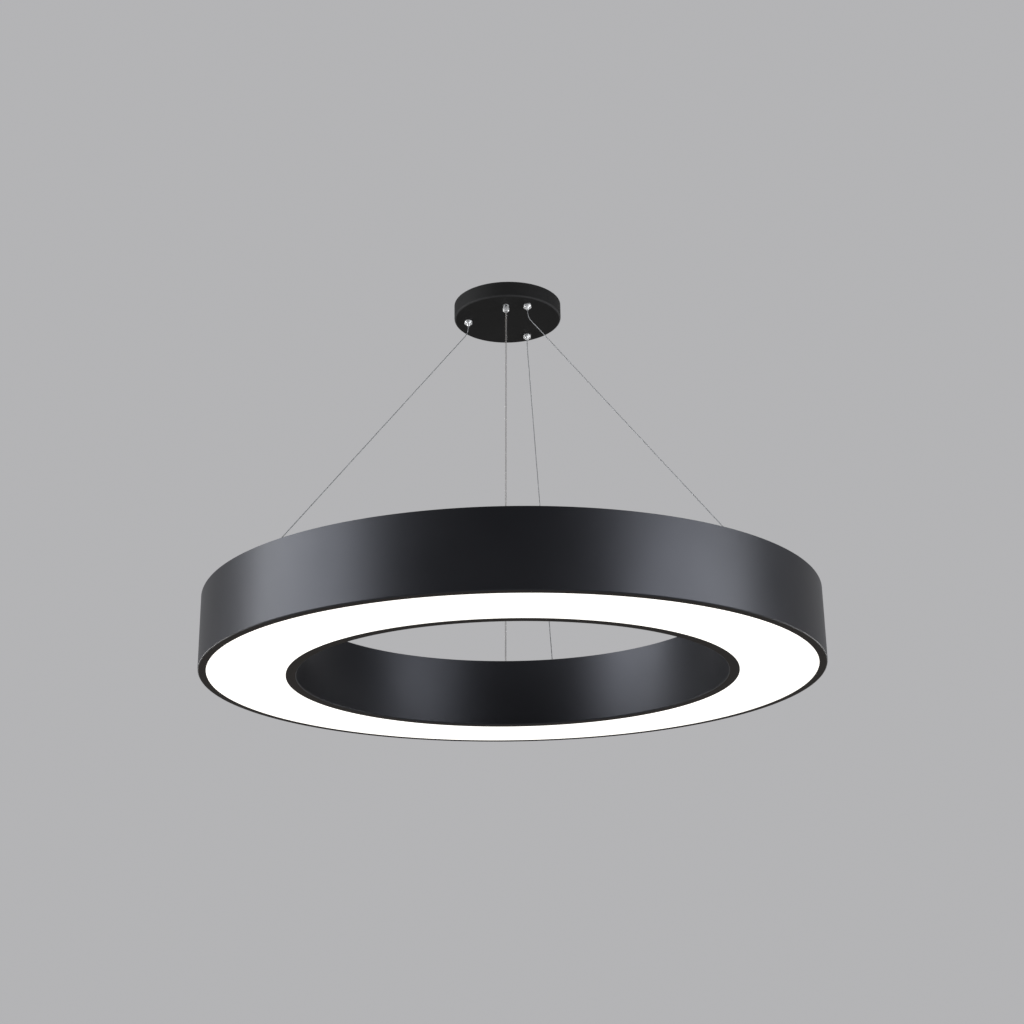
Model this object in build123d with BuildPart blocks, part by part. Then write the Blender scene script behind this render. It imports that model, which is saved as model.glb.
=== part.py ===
from build123d import *

import os
from math import cos, pi, radians, sin

# LED ring pendant: a flat ring-shaped lamp body hung from a small ceiling canopy by three
# steel wires, with its supply cord beside them. Millimetres. The origin is the centre of
# the canopy's ceiling face, +Z points up into the ceiling and -Y faces the viewer.

os.makedirs("parts", exist_ok=True)

# Lamp ring
ring_radius = 400.0
ring_width = 123.0
ring_height = 95.0
wall_sheet = 1.2
wall_bend = 2.0
outer_lip = 10.3
inner_lip = 13.5
top_sheet = 1.2

# Canopy and the free height between it and the ring
canopy_radius = 74.0
canopy_height = 22.0
canopy_sheet = 1.2
canopy_bend = 3.2
hang_height = 417.0

# Where the wires and the cord leave the canopy and reach the ring
gripper_inset = 19.4
gripper_angles = {"left": 180.0, "right": -60.0, "far": 60.0}
hanger_offset = 8.5
hanger_angles = {"left": -160.0, "right": -40.0, "far": 80.0}
wire_diameter = 1.2
wire_bend = 6.0
wire_drop = 10.5
wire_sweep = 30.0
wire_tail = 22.0
gland_x = -2.0
gland_inset = 27.0
cord_diameter = 2.4
cord_bend = 14.0
cord_inner_bend = 7.2
grommet_x = -10.0
grommet_inset = 20.5

# Clearances
slip_gap = 0.3
hole_gap = 0.2
thread_gap = 0.05
slide_gap = 0.05

# Wire gripper: collar, threaded stem, release plunger, jaws and spring
collar_radius = 5.3
collar_height = 4.5
collar_chamfer = 0.6
stem_radius = 4.2
stem_rise = 7.3
nut_flats = 13.0
nut_height = 3.0
plunger_radius = 2.0
plunger_head = 2.35
plunger_head_height = 0.9
plunger_travel = 2.5
plunger_proud = 0.5
plunger_edge = 0.5
seat_depth = 1.5
seat_radius = 2.5
chamber_radius = 3.1
seat_height = 4.0
jaw_height = 2.4
jaw_gap = 0.12
jaw_slit = 0.5
jaw_count = 3
cap_height = 1.2
spring_wire = 0.4
spring_turns = 5
spring_radius = 2.3

# Cord gland
gland_radius = 4.5
gland_height = 9.4
gland_neck_radius = 4.0
gland_neck_height = 4.4
gland_chamfer = 1.2
gland_step_chamfer = 0.3
gland_stem_radius = 3.0
gland_stem_rise = 5.0
gland_nut_flats = 11.0
gland_nut_height = 2.5
grub_radius = 1.5
grub_length = 2.3
grub_slot = 0.5

# Ceiling plate and what it carries
plate_sheet = 1.5
plate_skirt = 10.0
slot_spacing = 100.0
slot_width = 5.0
slot_length = 12.0
cable_entry_radius = 6.5
cable_entry_x = -34.0
cable_entry_y = 36.0
side_screw_angles = (40.0, 140.0)
side_screw_radius = 1.5
side_screw_length = 5.0
side_head_radius = 2.8
side_head_height = 1.6
driver_length = 68.0
driver_width = 44.0
driver_height = 14.0
driver_y = 2.0
driver_edge = 2.0
mains_block_length = 30.0
mains_block_width = 12.0
mains_block_height = 10.0
mains_block_inset = 28.0
mains_block_ways = 3
mains_bore_radius = 3.0
mains_bore_depth = 5.0
lead_diameter = 2.0
lead_spacing = 6.0
earth_x = 42.0
earth_y = 22.0
earth_radius = 2.0
earth_length = 6.0
earth_head_radius = 3.6
earth_head_height = 2.4
earth_nut_height = 1.2

# Wire hangers on the ring's top plate
hanger_base_radius = 7.0
hanger_base_height = 2.0
hanger_radius = 4.8
hanger_height = 13.0
hanger_chamfer = 2.0
hanger_stud_radius = 4.0
hanger_stud_length = 8.5
hanger_nut_flats = 12.0
hanger_nut_height = 3.2
ball_radius = 2.0
ball_depth = 6.0
backing_length = 36.0
backing_width = 22.0
backing_sheet = 1.5

# Cord grommet on the top plate
grommet_radius = 5.5
grommet_height = 7.0
grommet_collar_height = 2.3
grommet_neck_radius = 3.6
grommet_wall = 1.2

# Ribs that join the two walls and carry the top plate and the tray
rib_count = 12
rib_start = 15.0
rib_depth = 40.0
rib_sheet = 1.5
rib_flange = 16.0
plate_screw_radius = 2.0
plate_screw_length = 6.0
plate_head_radius = 3.6
plate_head_height = 2.0
plate_head_chamfer = 0.7

# LED tray, boards and what is on them
tray_sheet = 1.5
tray_rim = 8.0
tray_gap = 2.0
tray_screw_inset = 12.0
tray_screw_radius = 1.5
tray_screw_length = 5.0
tray_head_radius = 2.8
tray_head_height = 1.8
board_count = 8
board_gap_angle = 1.5
board_width = 60.0
board_sheet = 1.6
chip_rows = (-20.0, 20.0)
chips_per_row = 10
chip_length = 3.5
chip_width = 2.8
chip_height = 0.8
board_screw_spread = 15.0
link_length = 20.0
link_width = 10.0
link_height = 4.0
ring_block_length = 26.0
ring_block_width = 16.0
ring_block_height = 12.0
ring_block_edge = 1.0
feed_angle = 90.0
tray_lead_spacing = 3.6
tray_lead_hole = 4.2

# Opal diffuser, its tape and its clips
diffuser_sheet = 3.0
diffuser_edge_gap = 0.8
diffuser_step = 1.5
diffuser_step_gap = 0.3
tape_height = 0.5
tape_inset = 1.0
clip_count = 12
clip_width = 12.0
clip_sheet = 0.8
clip_height = 14.0
clip_foot = 9.0

# Levels and radii worked out from the sizes above
canopy_under = -canopy_height
canopy_floor = canopy_under + canopy_sheet
ring_top = canopy_under - hang_height
ring_bottom = ring_top - ring_height
outer_face = ring_radius - wall_sheet
bore_radius = ring_radius - ring_width
inner_face = bore_radius + wall_sheet
band_middle = (ring_radius + bore_radius) / 2
hanger_circle = band_middle + hanger_offset
grommet_y = band_middle - grommet_inset
gripper_circle = canopy_radius - gripper_inset
gland_y = gland_inset - canopy_radius
lip_top = ring_bottom + wall_sheet
plate_under = ring_top - top_sheet
rib_under = plate_under - rib_depth
tray_under = rib_under - tray_sheet
board_under = tray_under - board_sheet
tape_top = lip_top + tape_height
diffuser_top = tape_top + diffuser_sheet
plate_radius = canopy_radius - canopy_sheet - slip_gap
side_screw_level = -plate_skirt / 2
gripper_top = canopy_under + stem_rise + canopy_sheet
wire_radius = wire_diameter / 2
cord_radius = cord_diameter / 2
wire_bore = wire_radius + hole_gap
cord_bore = cord_radius + hole_gap
grip_floor = canopy_under - collar_height
seat_floor = canopy_under - seat_depth
seat_top = seat_floor + seat_height
jaw_floor = seat_floor + plunger_head_height + 2 * jaw_gap
jaw_top = jaw_floor + jaw_height
cap_under = gripper_top - cap_height
plunger_reach = plunger_travel + plunger_proud


def on_circle(radius, angle):
    """The x and y of a place on a circle about the lamp's axis."""
    return radius * cos(radians(angle)), radius * sin(radians(angle))


def upright(x, y):
    """A plane standing at x, y that faces the viewer, with its own Y up."""
    return Plane((x, y, 0), x_dir=(1, 0, 0), z_dir=(0, -1, 0))


def radial(angle):
    """A plane standing on the lamp's axis, with its own X pointing outwards at an angle."""
    return Plane((0, 0, 0), x_dir=(*on_circle(1, angle), 0), z_dir=(*on_circle(1, angle - 90), 0))


def outward(distance, angle, height):
    """A plane at a distance from the lamp's axis that faces straight outwards."""
    return Plane((*on_circle(distance, angle), height), z_dir=(*on_circle(1, angle), 0))


def flat_ring(outer, inner):
    """A ring drawn in the open sketch."""
    Circle(outer)
    Circle(inner, mode=Mode.SUBTRACT)


def seat_at(height):
    """The radius of the gripper's tapered seat at a height."""
    return seat_radius + (chamber_radius - seat_radius) * (height - seat_floor) / seat_height


def print_route(name, part, points, radii, diameter):
    """Say how far a swept tube's volume is from its section times its length."""
    route = FilletPolyline(*points, radius=radii, mode=Mode.PRIVATE)
    ideal = pi * diameter**2 / 4 * route.length
    print(f"{name}: length {route.length:.1f}, radii {radii}, volume ratio {part.volume / ideal:.4f}")


# Canopy: a spun cup, open towards the ceiling
with BuildPart() as canopy_cup:
    with BuildSketch(Plane.XZ):
        with BuildLine():
            FilletPolyline(
                (0, canopy_under + canopy_sheet / 2),
                (canopy_radius - canopy_sheet / 2, canopy_under + canopy_sheet / 2),
                (canopy_radius - canopy_sheet / 2, 0),
                radius=canopy_bend - canopy_sheet / 2,
            )
        trace(line_width=canopy_sheet)
    revolve(axis=Axis.Z)
    for angle in gripper_angles.values():
        with BuildSketch(Plane(on_circle(gripper_circle, angle) + (canopy_under,))):
            Circle(stem_radius + hole_gap)
        extrude(amount=canopy_sheet, mode=Mode.SUBTRACT)
    with BuildSketch(Plane((gland_x, gland_y, canopy_under))):
        Circle(gland_stem_radius + hole_gap)
    extrude(amount=canopy_sheet, mode=Mode.SUBTRACT)
    for angle in side_screw_angles:
        with BuildSketch(outward(0, angle, side_screw_level)):
            Circle(side_screw_radius + hole_gap)
        extrude(amount=canopy_radius + canopy_sheet, mode=Mode.SUBTRACT)
canopy_cup.part.label = "canopy_cup"
export_step(canopy_cup.part, "parts/canopy_cup.step")

# Ceiling plate: a shallow pan that the cup slips over
with BuildPart() as ceiling_plate:
    with BuildSketch():
        Circle(plate_radius)
        with GridLocations(slot_spacing, 0, 2, 1):
            SlotOverall(slot_length, slot_width, mode=Mode.SUBTRACT)
        with Locations((cable_entry_x, cable_entry_y)):
            Circle(cable_entry_radius, mode=Mode.SUBTRACT)
        with Locations((earth_x, earth_y)):
            Circle(earth_radius + thread_gap, mode=Mode.SUBTRACT)
    extrude(amount=-plate_sheet)
    with BuildSketch(Plane.XY.offset(-plate_sheet)):
        flat_ring(plate_radius, plate_radius - plate_sheet)
    extrude(amount=-(plate_skirt - plate_sheet))
    for angle in side_screw_angles:
        with BuildSketch(outward(0, angle, side_screw_level)):
            Circle(side_screw_radius + thread_gap)
        extrude(amount=canopy_radius, mode=Mode.SUBTRACT)
ceiling_plate.part.label = "ceiling_plate"
export_step(ceiling_plate.part, "parts/ceiling_plate.step")

with BuildPart() as canopy_screws:
    for angle in side_screw_angles:
        with BuildSketch(outward(canopy_radius, angle, side_screw_level)):
            Circle(side_head_radius)
        extrude(amount=side_head_height)
        with BuildSketch(outward(canopy_radius, angle, side_screw_level)):
            Circle(side_screw_radius)
        extrude(amount=-side_screw_length)
canopy_screws.part.label = "canopy_screws"
export_step(canopy_screws.part, "parts/canopy_screws.step")

with BuildPart() as earth_screw:
    with BuildSketch(Plane((earth_x, earth_y, 0))):
        Circle(earth_radius)
    extrude(amount=-earth_length)
    with BuildSketch(Plane((earth_x, earth_y, -plate_sheet))):
        Circle(earth_head_radius)
    extrude(amount=-earth_head_height)
    with BuildSketch(Plane((earth_x, earth_y, -earth_length))):
        Circle(earth_head_radius)
    extrude(amount=earth_nut_height)
earth_screw.part.label = "earth_screw"
export_step(earth_screw.part, "parts/earth_screw.step")

# LED driver and mains terminal block, both under the ceiling plate
driver_front = driver_y - driver_width / 2
driver_back = driver_y + driver_width / 2
cord_level = -plate_sheet - driver_height / 2 + cord_radius
with BuildPart() as driver:
    with BuildSketch(Plane((0, driver_y, -plate_sheet))):
        RectangleRounded(driver_length, driver_width, driver_edge)
    extrude(amount=-driver_height)
    fillet(driver.faces().sort_by(Axis.Z)[0].edges(), driver_edge / 2)
driver.part.label = "driver"
export_step(driver.part, "parts/driver.step")

mains_block_y = canopy_radius - mains_block_inset
block_front = mains_block_y - mains_block_width / 2
with BuildPart() as mains_terminal:
    with BuildSketch(Plane((0, mains_block_y, -plate_sheet))):
        Rectangle(mains_block_length, mains_block_width)
    extrude(amount=-mains_block_height)
    with BuildSketch(Plane((0, mains_block_y, -plate_sheet - mains_block_height))):
        with GridLocations(mains_block_length / mains_block_ways, 0, mains_block_ways, 1):
            Circle(mains_bore_radius)
    extrude(amount=mains_bore_depth, mode=Mode.SUBTRACT)
mains_terminal.part.label = "mains_terminal"
export_step(mains_terminal.part, "parts/mains_terminal.step")

lead_level = -plate_sheet - mains_block_height / 4
with BuildPart() as driver_leads:
    with BuildSketch(Plane((0, driver_back, lead_level), x_dir=(1, 0, 0), z_dir=(0, 1, 0))):
        with GridLocations(lead_spacing, 0, 2, 1):
            Circle(lead_diameter / 2)
    extrude(amount=block_front - driver_back)
driver_leads.part.label = "driver_leads"
export_step(driver_leads.part, "parts/driver_leads.step")

# Wire grippers: the body is clamped through the canopy's floor by a nut
for side, angle in gripper_angles.items():
    grip_x, grip_y = on_circle(gripper_circle, angle)

    with BuildPart() as gripper_body:
        with BuildSketch(upright(grip_x, grip_y)):
            with BuildLine():
                Polyline(
                    (plunger_radius + slide_gap, grip_floor),
                    (collar_radius - collar_chamfer, grip_floor),
                    (collar_radius, grip_floor + collar_chamfer),
                    (collar_radius, canopy_under),
                    (stem_radius, canopy_under),
                    (stem_radius, gripper_top),
                    (chamber_radius, gripper_top),
                    (chamber_radius, seat_top),
                    (seat_radius, seat_floor),
                    (plunger_radius + slide_gap, seat_floor),
                    close=True,
                )
            make_face()
        revolve(axis=Axis((grip_x, grip_y, 0), (0, 0, 1)))
    gripper_body.part.label = f"gripper_body_{side}"
    export_step(gripper_body.part, f"parts/gripper_body_{side}.step")

    with BuildPart(Plane((grip_x, grip_y, grip_floor - plunger_reach))) as plunger:
        rod_height = plunger_reach + collar_height - seat_depth + jaw_gap
        Cylinder(plunger_radius, rod_height, align=(Align.CENTER, Align.CENTER, Align.MIN))
        fillet(plunger.faces().sort_by(Axis.Z)[0].edges(), plunger_edge)
        with Locations((0, 0, rod_height)):
            Cylinder(plunger_head, plunger_head_height, align=(Align.CENTER, Align.CENTER, Align.MIN))
        Cylinder(
            wire_bore,
            rod_height + plunger_head_height,
            align=(Align.CENTER, Align.CENTER, Align.MIN),
            mode=Mode.SUBTRACT,
        )
    plunger.part.label = f"release_plunger_{side}"
    export_step(plunger.part, f"parts/release_plunger_{side}.step")

    with BuildPart() as jaws:
        with BuildSketch(upright(grip_x, grip_y)):
            with BuildLine():
                Polyline(
                    (wire_radius + jaw_gap, jaw_floor),
                    (seat_at(jaw_floor) - jaw_gap, jaw_floor),
                    (seat_at(jaw_top) - jaw_gap, jaw_top),
                    (wire_radius + jaw_gap, jaw_top),
                    close=True,
                )
            make_face()
        revolve(axis=Axis((grip_x, grip_y, 0), (0, 0, 1)))
        with BuildSketch(Plane((grip_x, grip_y, jaw_floor))):
            with PolarLocations(chamber_radius / 2, jaw_count):
                Rectangle(chamber_radius, jaw_slit)
        extrude(amount=jaw_height, mode=Mode.SUBTRACT)
    jaws.part.label = f"grip_jaws_{side}"
    export_step(jaws.part, f"parts/grip_jaws_{side}.step")

    spring_floor = jaw_top + jaw_gap + spring_wire / 2
    spring_ceiling = cap_under - jaw_gap - spring_wire / 2
    spring_pitch = (spring_ceiling - spring_floor) / spring_turns
    with BuildPart() as spring:
        with BuildLine() as spring_line:
            Helix(spring_pitch, spring_ceiling - spring_floor, spring_radius, center=(grip_x, grip_y, spring_floor))
        with BuildSketch(Plane(spring_line.line @ 0, z_dir=spring_line.line % 0)):
            Circle(spring_wire / 2)
        sweep(is_frenet=True)
    spring.part.label = f"grip_spring_{side}"
    export_step(spring.part, f"parts/grip_spring_{side}.step")

with BuildPart() as gripper_caps:
    for angle in gripper_angles.values():
        with BuildSketch(Plane(on_circle(gripper_circle, angle) + (cap_under,))):
            flat_ring(chamber_radius - thread_gap, wire_bore)
        extrude(amount=cap_height)
gripper_caps.part.label = "gripper_caps"
export_step(gripper_caps.part, "parts/gripper_caps.step")

with BuildPart() as gripper_nuts:
    for angle in gripper_angles.values():
        with BuildSketch(Plane(on_circle(gripper_circle, angle) + (canopy_floor,))):
            RegularPolygon(nut_flats / 2, 6, major_radius=False)
            Circle(stem_radius + thread_gap, mode=Mode.SUBTRACT)
        extrude(amount=nut_height)
gripper_nuts.part.label = "gripper_nuts"
export_step(gripper_nuts.part, "parts/gripper_nuts.step")

# Cord gland: neck, wider clamping collar and a stem through the canopy's floor
gland_bottom = canopy_under - gland_height
gland_top = canopy_floor + gland_stem_rise
gland_step = canopy_under - gland_neck_height
with BuildPart() as cord_gland:
    with BuildSketch(upright(gland_x, gland_y)):
        with BuildLine():
            Polyline(
                (cord_bore, gland_bottom),
                (gland_radius - gland_chamfer, gland_bottom),
                (gland_radius, gland_bottom + gland_chamfer),
                (gland_radius, gland_step - gland_step_chamfer),
                (gland_radius - gland_step_chamfer, gland_step),
                (gland_neck_radius, gland_step),
                (gland_neck_radius, canopy_under),
                (gland_stem_radius, canopy_under),
                (gland_stem_radius, gland_top),
                (cord_bore, gland_top),
                close=True,
            )
        make_face()
    revolve(axis=Axis((gland_x, gland_y, 0), (0, 0, 1)))
    with BuildSketch(Plane((gland_x, gland_y, canopy_under - gland_neck_height / 2), z_dir=(0, -1, 0))):
        Circle(grub_radius + thread_gap)
    extrude(amount=gland_radius, mode=Mode.SUBTRACT)
cord_gland.part.label = "cord_gland"
export_step(cord_gland.part, "parts/cord_gland.step")

grub_level = (canopy_under + gland_step) / 2
with BuildPart() as gland_grub_screw:
    with BuildSketch(Plane((gland_x, gland_y - cord_radius - thread_gap, grub_level), z_dir=(0, -1, 0))):
        Circle(grub_radius)
    extrude(amount=grub_length)
    with BuildSketch(gland_grub_screw.faces().sort_by(Axis.Y)[0]):
        Rectangle(2 * grub_radius, grub_slot)
    extrude(amount=-grub_slot, mode=Mode.SUBTRACT)
gland_grub_screw.part.label = "gland_grub_screw"
export_step(gland_grub_screw.part, "parts/gland_grub_screw.step")

with BuildPart() as gland_nut:
    with BuildSketch(Plane((gland_x, gland_y, canopy_floor))):
        RegularPolygon(gland_nut_flats / 2, 6, major_radius=False)
        Circle(gland_stem_radius + thread_gap, mode=Mode.SUBTRACT)
    extrude(amount=gland_nut_height)
gland_nut.part.label = "gland_nut"
export_step(gland_nut.part, "parts/gland_nut.step")

# Suspension wires: a tail in the canopy, down through the gripper, taut to the hanger and
# down into it, where a pressed ball holds each end
hanger_mouth = ring_top + hanger_height
ball_level = ring_top + ball_depth
wire_level = gripper_top + wire_bend + hole_gap
for side, angle in gripper_angles.items():
    grip_x, grip_y = on_circle(gripper_circle, angle)
    hang_x, hang_y = on_circle(hanger_circle, hanger_angles[side])
    tail_x, tail_y = on_circle(wire_tail, angle - 90)
    wire_points = [
        (grip_x + tail_x, grip_y + tail_y, wire_level),
        (grip_x, grip_y, wire_level),
        (grip_x, grip_y, grip_floor - plunger_reach - wire_drop),
        (hang_x, hang_y, hanger_mouth + wire_bend / 2),
        (hang_x, hang_y, ball_level - ball_radius),
    ]
    wire_radii = [wire_bend, wire_sweep, wire_bend]
    with BuildPart() as suspension_wire:
        with BuildLine() as wire_line:
            FilletPolyline(*wire_points, radius=wire_radii)
        with BuildSketch(Plane(wire_line.line @ 0, z_dir=wire_line.line % 0)):
            Circle(wire_radius)
        sweep(path=wire_line.wire())
    print_route(f"suspension_wire_{side}", suspension_wire.part, wire_points, wire_radii, wire_diameter)
    suspension_wire.part.label = f"suspension_wire_{side}"
    export_step(suspension_wire.part, f"parts/suspension_wire_{side}.step")

# Supply cord: out of the driver, down through the gland, straight to the ring's grommet
block_top = rib_under + ring_block_height
cord_points = [
    (gland_x, driver_front, cord_level),
    (gland_x, gland_y, cord_level),
    (gland_x, gland_y, gland_bottom - cord_bend / 2),
    (grommet_x, grommet_y, ring_top + grommet_height + cord_bend / 2),
    (grommet_x, grommet_y, block_top),
]
cord_radii = [cord_inner_bend, cord_bend, cord_bend]
with BuildPart() as power_cord:
    with BuildLine() as cord_line:
        FilletPolyline(*cord_points, radius=cord_radii)
    with BuildSketch(Plane(cord_line.line @ 0, z_dir=cord_line.line % 0)):
        Circle(cord_radius)
    sweep(path=cord_line.wire())
print_route("power_cord", power_cord.part, cord_points, cord_radii, cord_diameter)
power_cord.part.label = "power_cord"
export_step(power_cord.part, "parts/power_cord.step")

# Ring walls: rolled strips, each with its lower edge turned in as a lip
with BuildPart() as outer_wall:
    with BuildSketch(Plane.XZ):
        with BuildLine():
            FilletPolyline(
                (ring_radius - wall_sheet / 2, ring_top),
                (ring_radius - wall_sheet / 2, ring_bottom + wall_sheet / 2),
                (ring_radius - outer_lip, ring_bottom + wall_sheet / 2),
                radius=wall_bend - wall_sheet / 2,
            )
        trace(line_width=wall_sheet)
    revolve(axis=Axis.Z)
outer_wall.part.label = "outer_wall"
export_step(outer_wall.part, "parts/outer_wall.step")

with BuildPart() as inner_wall:
    with BuildSketch(Plane.XZ):
        with BuildLine():
            FilletPolyline(
                (bore_radius + wall_sheet / 2, ring_top),
                (bore_radius + wall_sheet / 2, ring_bottom + wall_sheet / 2),
                (bore_radius + inner_lip, ring_bottom + wall_sheet / 2),
                radius=wall_bend - wall_sheet / 2,
            )
        trace(line_width=wall_sheet)
    revolve(axis=Axis.Z)
inner_wall.part.label = "inner_wall"
export_step(inner_wall.part, "parts/inner_wall.step")

# Top plate, with the holes for its screws, the hangers and the cord
with BuildPart() as top_plate:
    with BuildSketch(Plane.XY.offset(ring_top)):
        flat_ring(outer_face - slip_gap, inner_face + slip_gap)
        with PolarLocations(band_middle, rib_count, start_angle=rib_start):
            Circle(plate_screw_radius + hole_gap, mode=Mode.SUBTRACT)
        with Locations([on_circle(hanger_circle, angle) for angle in hanger_angles.values()]):
            Circle(hanger_stud_radius + hole_gap, mode=Mode.SUBTRACT)
        with Locations((grommet_x, grommet_y)):
            Circle(grommet_neck_radius + hole_gap, mode=Mode.SUBTRACT)
    extrude(amount=-top_sheet)
top_plate.part.label = "top_plate"
export_step(top_plate.part, "parts/top_plate.step")

with BuildPart() as top_plate_screws:
    with BuildSketch(Plane.XY.offset(ring_top)):
        with PolarLocations(band_middle, rib_count, start_angle=rib_start):
            Circle(plate_head_radius)
    extrude(amount=plate_head_height)
    chamfer(top_plate_screws.faces().sort_by(Axis.Z)[-rib_count:].edges(), plate_head_chamfer)
    with BuildSketch(Plane.XY.offset(ring_top)):
        with PolarLocations(band_middle, rib_count, start_angle=rib_start):
            Circle(plate_screw_radius)
    extrude(amount=-plate_screw_length)
top_plate_screws.part.label = "top_plate_screws"
export_step(top_plate_screws.part, "parts/top_plate_screws.step")

# Ribs: pressed channels between the walls, with a flange on every side
tray_screw_circles = (inner_face + tray_screw_inset, outer_face - tray_screw_inset)
rib_middle = rib_under + rib_depth / 2
rib_pocket = (rib_flange - rib_sheet) / 2
with BuildPart() as ribs:
    with BuildSketch(Plane.XY.offset(rib_under)):
        with PolarLocations(band_middle, rib_count, start_angle=rib_start):
            Rectangle(ring_width, rib_flange)
        Circle(outer_face - hole_gap, mode=Mode.INTERSECT)
        Circle(inner_face + hole_gap, mode=Mode.SUBTRACT)
    extrude(amount=rib_depth)
    with BuildSketch(Plane.XY.offset(rib_under + rib_sheet)):
        for side_offset in (-1, 1):
            with PolarLocations(0, rib_count, start_angle=rib_start):
                with Locations((band_middle, side_offset * (rib_sheet + rib_pocket) / 2)):
                    Rectangle(ring_width, rib_pocket)
        Circle(outer_face - hole_gap - rib_sheet, mode=Mode.INTERSECT)
        Circle(inner_face + hole_gap + rib_sheet, mode=Mode.SUBTRACT)
    extrude(amount=rib_depth - 2 * rib_sheet, mode=Mode.SUBTRACT)
    with BuildSketch(Plane.XY.offset(plate_under)):
        with PolarLocations(band_middle, rib_count, start_angle=rib_start):
            Circle(plate_screw_radius + thread_gap)
    extrude(amount=-(plate_screw_length - top_sheet + hole_gap), mode=Mode.SUBTRACT)
    with BuildSketch(Plane.XY.offset(rib_under)):
        for circle in tray_screw_circles:
            with PolarLocations(circle, rib_count, start_angle=rib_start):
                Circle(tray_screw_radius + thread_gap)
    extrude(amount=tray_screw_length - tray_sheet + hole_gap, mode=Mode.SUBTRACT)
ribs.part.label = "ribs"
export_step(ribs.part, "parts/ribs.step")

# LED tray: a shallow pan under the ribs, with its rims turned down
tray_outer = outer_face - tray_gap
tray_inner = inner_face + tray_gap
board_pitch = 360 / board_count
board_arc = board_pitch - board_gap_angle
board_starts = [board_gap_angle / 2 + board_pitch * number for number in range(board_count)]
board_screw_angles = [
    start + board_arc / 2 + step * board_screw_spread for start in board_starts for step in (-1, 0, 1)
]
feed_x, feed_y = on_circle(band_middle, feed_angle)
with BuildPart() as led_tray:
    with BuildSketch(Plane.XY.offset(rib_under)):
        flat_ring(tray_outer, tray_inner)
    extrude(amount=-tray_sheet)
    with BuildSketch(Plane.XY.offset(tray_under)):
        flat_ring(tray_outer, tray_outer - tray_sheet)
    extrude(amount=-(tray_rim - tray_sheet))
    with BuildSketch(Plane.XY.offset(tray_under)):
        flat_ring(tray_inner + tray_sheet, tray_inner)
    extrude(amount=-(tray_rim - tray_sheet))
    with BuildSketch(Plane.XY.offset(rib_under)):
        for circle in tray_screw_circles:
            with PolarLocations(circle, rib_count, start_angle=rib_start):
                Circle(tray_screw_radius + hole_gap)
        with Locations([on_circle(band_middle, angle) for angle in board_screw_angles]):
            Circle(tray_screw_radius + thread_gap)
        with Locations((feed_x, feed_y)):
            Circle(tray_lead_hole)
    extrude(amount=-tray_sheet, mode=Mode.SUBTRACT)
led_tray.part.label = "led_tray"
export_step(led_tray.part, "parts/led_tray.step")

with BuildPart() as tray_screws:
    with BuildSketch(Plane.XY.offset(tray_under)):
        for circle in tray_screw_circles:
            with PolarLocations(circle, rib_count, start_angle=rib_start):
                Circle(tray_head_radius)
    extrude(amount=-tray_head_height)
    with BuildSketch(Plane.XY.offset(tray_under)):
        for circle in tray_screw_circles:
            with PolarLocations(circle, rib_count, start_angle=rib_start):
                Circle(tray_screw_radius)
    extrude(amount=tray_screw_length)
tray_screws.part.label = "tray_screws"
export_step(tray_screws.part, "parts/tray_screws.step")

# LED boards: arcs screwed under the tray, each with two rows of LEDs
with BuildPart() as led_boards:
    for start in board_starts:
        with BuildSketch(radial(start)):
            with Locations((band_middle, (tray_under + board_under) / 2)):
                Rectangle(board_width, board_sheet)
        revolve(axis=Axis.Z, revolution_arc=board_arc)
    with BuildSketch(Plane.XY.offset(tray_under)):
        with Locations([on_circle(band_middle, angle) for angle in board_screw_angles]):
            Circle(tray_screw_radius + hole_gap)
    extrude(amount=-board_sheet, mode=Mode.SUBTRACT)
led_boards.part.label = "led_boards"
export_step(led_boards.part, "parts/led_boards.step")

chip_pitch = board_arc / chips_per_row
with BuildPart() as led_chips:
    with BuildSketch(Plane.XY.offset(board_under)):
        for start in board_starts:
            for row in chip_rows:
                with PolarLocations(
                    band_middle + row,
                    chips_per_row,
                    start_angle=start + chip_pitch / 2,
                    angular_range=board_arc,
                ):
                    Rectangle(chip_width, chip_length)
    extrude(amount=-chip_height)
led_chips.part.label = "led_chips"
export_step(led_chips.part, "parts/led_chips.step")

with BuildPart() as board_screws:
    with BuildSketch(Plane.XY.offset(board_under)):
        with Locations([on_circle(band_middle, angle) for angle in board_screw_angles]):
            Circle(tray_head_radius)
    extrude(amount=-tray_head_height)
    with BuildSketch(Plane.XY.offset(board_under)):
        with Locations([on_circle(band_middle, angle) for angle in board_screw_angles]):
            Circle(tray_screw_radius)
    extrude(amount=tray_screw_length)
board_screws.part.label = "board_screws"
export_step(board_screws.part, "parts/board_screws.step")

# Connectors that bridge the gaps between the boards; the one at the far side takes the feed
link_angles = [board_pitch * number for number in range(board_count)]
with BuildPart() as board_links:
    with BuildSketch(Plane.XY.offset(board_under)):
        for angle in link_angles:
            if abs(angle - feed_angle) > board_pitch / 2:
                with PolarLocations(band_middle, 1, start_angle=angle):
                    Rectangle(link_width, link_length)
    extrude(amount=-link_height)
board_links.part.label = "board_links"
export_step(board_links.part, "parts/board_links.step")

with BuildPart() as feed_connector:
    with BuildSketch(Plane((feed_x, feed_y, board_under))):
        Rectangle(link_length, link_width)
    extrude(amount=-link_height - chip_height)
feed_connector.part.label = "feed_connector"
export_step(feed_connector.part, "parts/feed_connector.step")

with BuildPart() as ring_terminal:
    with BuildSketch(Plane((grommet_x, grommet_y, rib_under))):
        Rectangle(ring_block_length, ring_block_width)
    extrude(amount=ring_block_height)
    fillet(ring_terminal.edges().filter_by(Axis.Z), ring_block_edge)
ring_terminal.part.label = "ring_terminal"
export_step(ring_terminal.part, "parts/ring_terminal.step")

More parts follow.
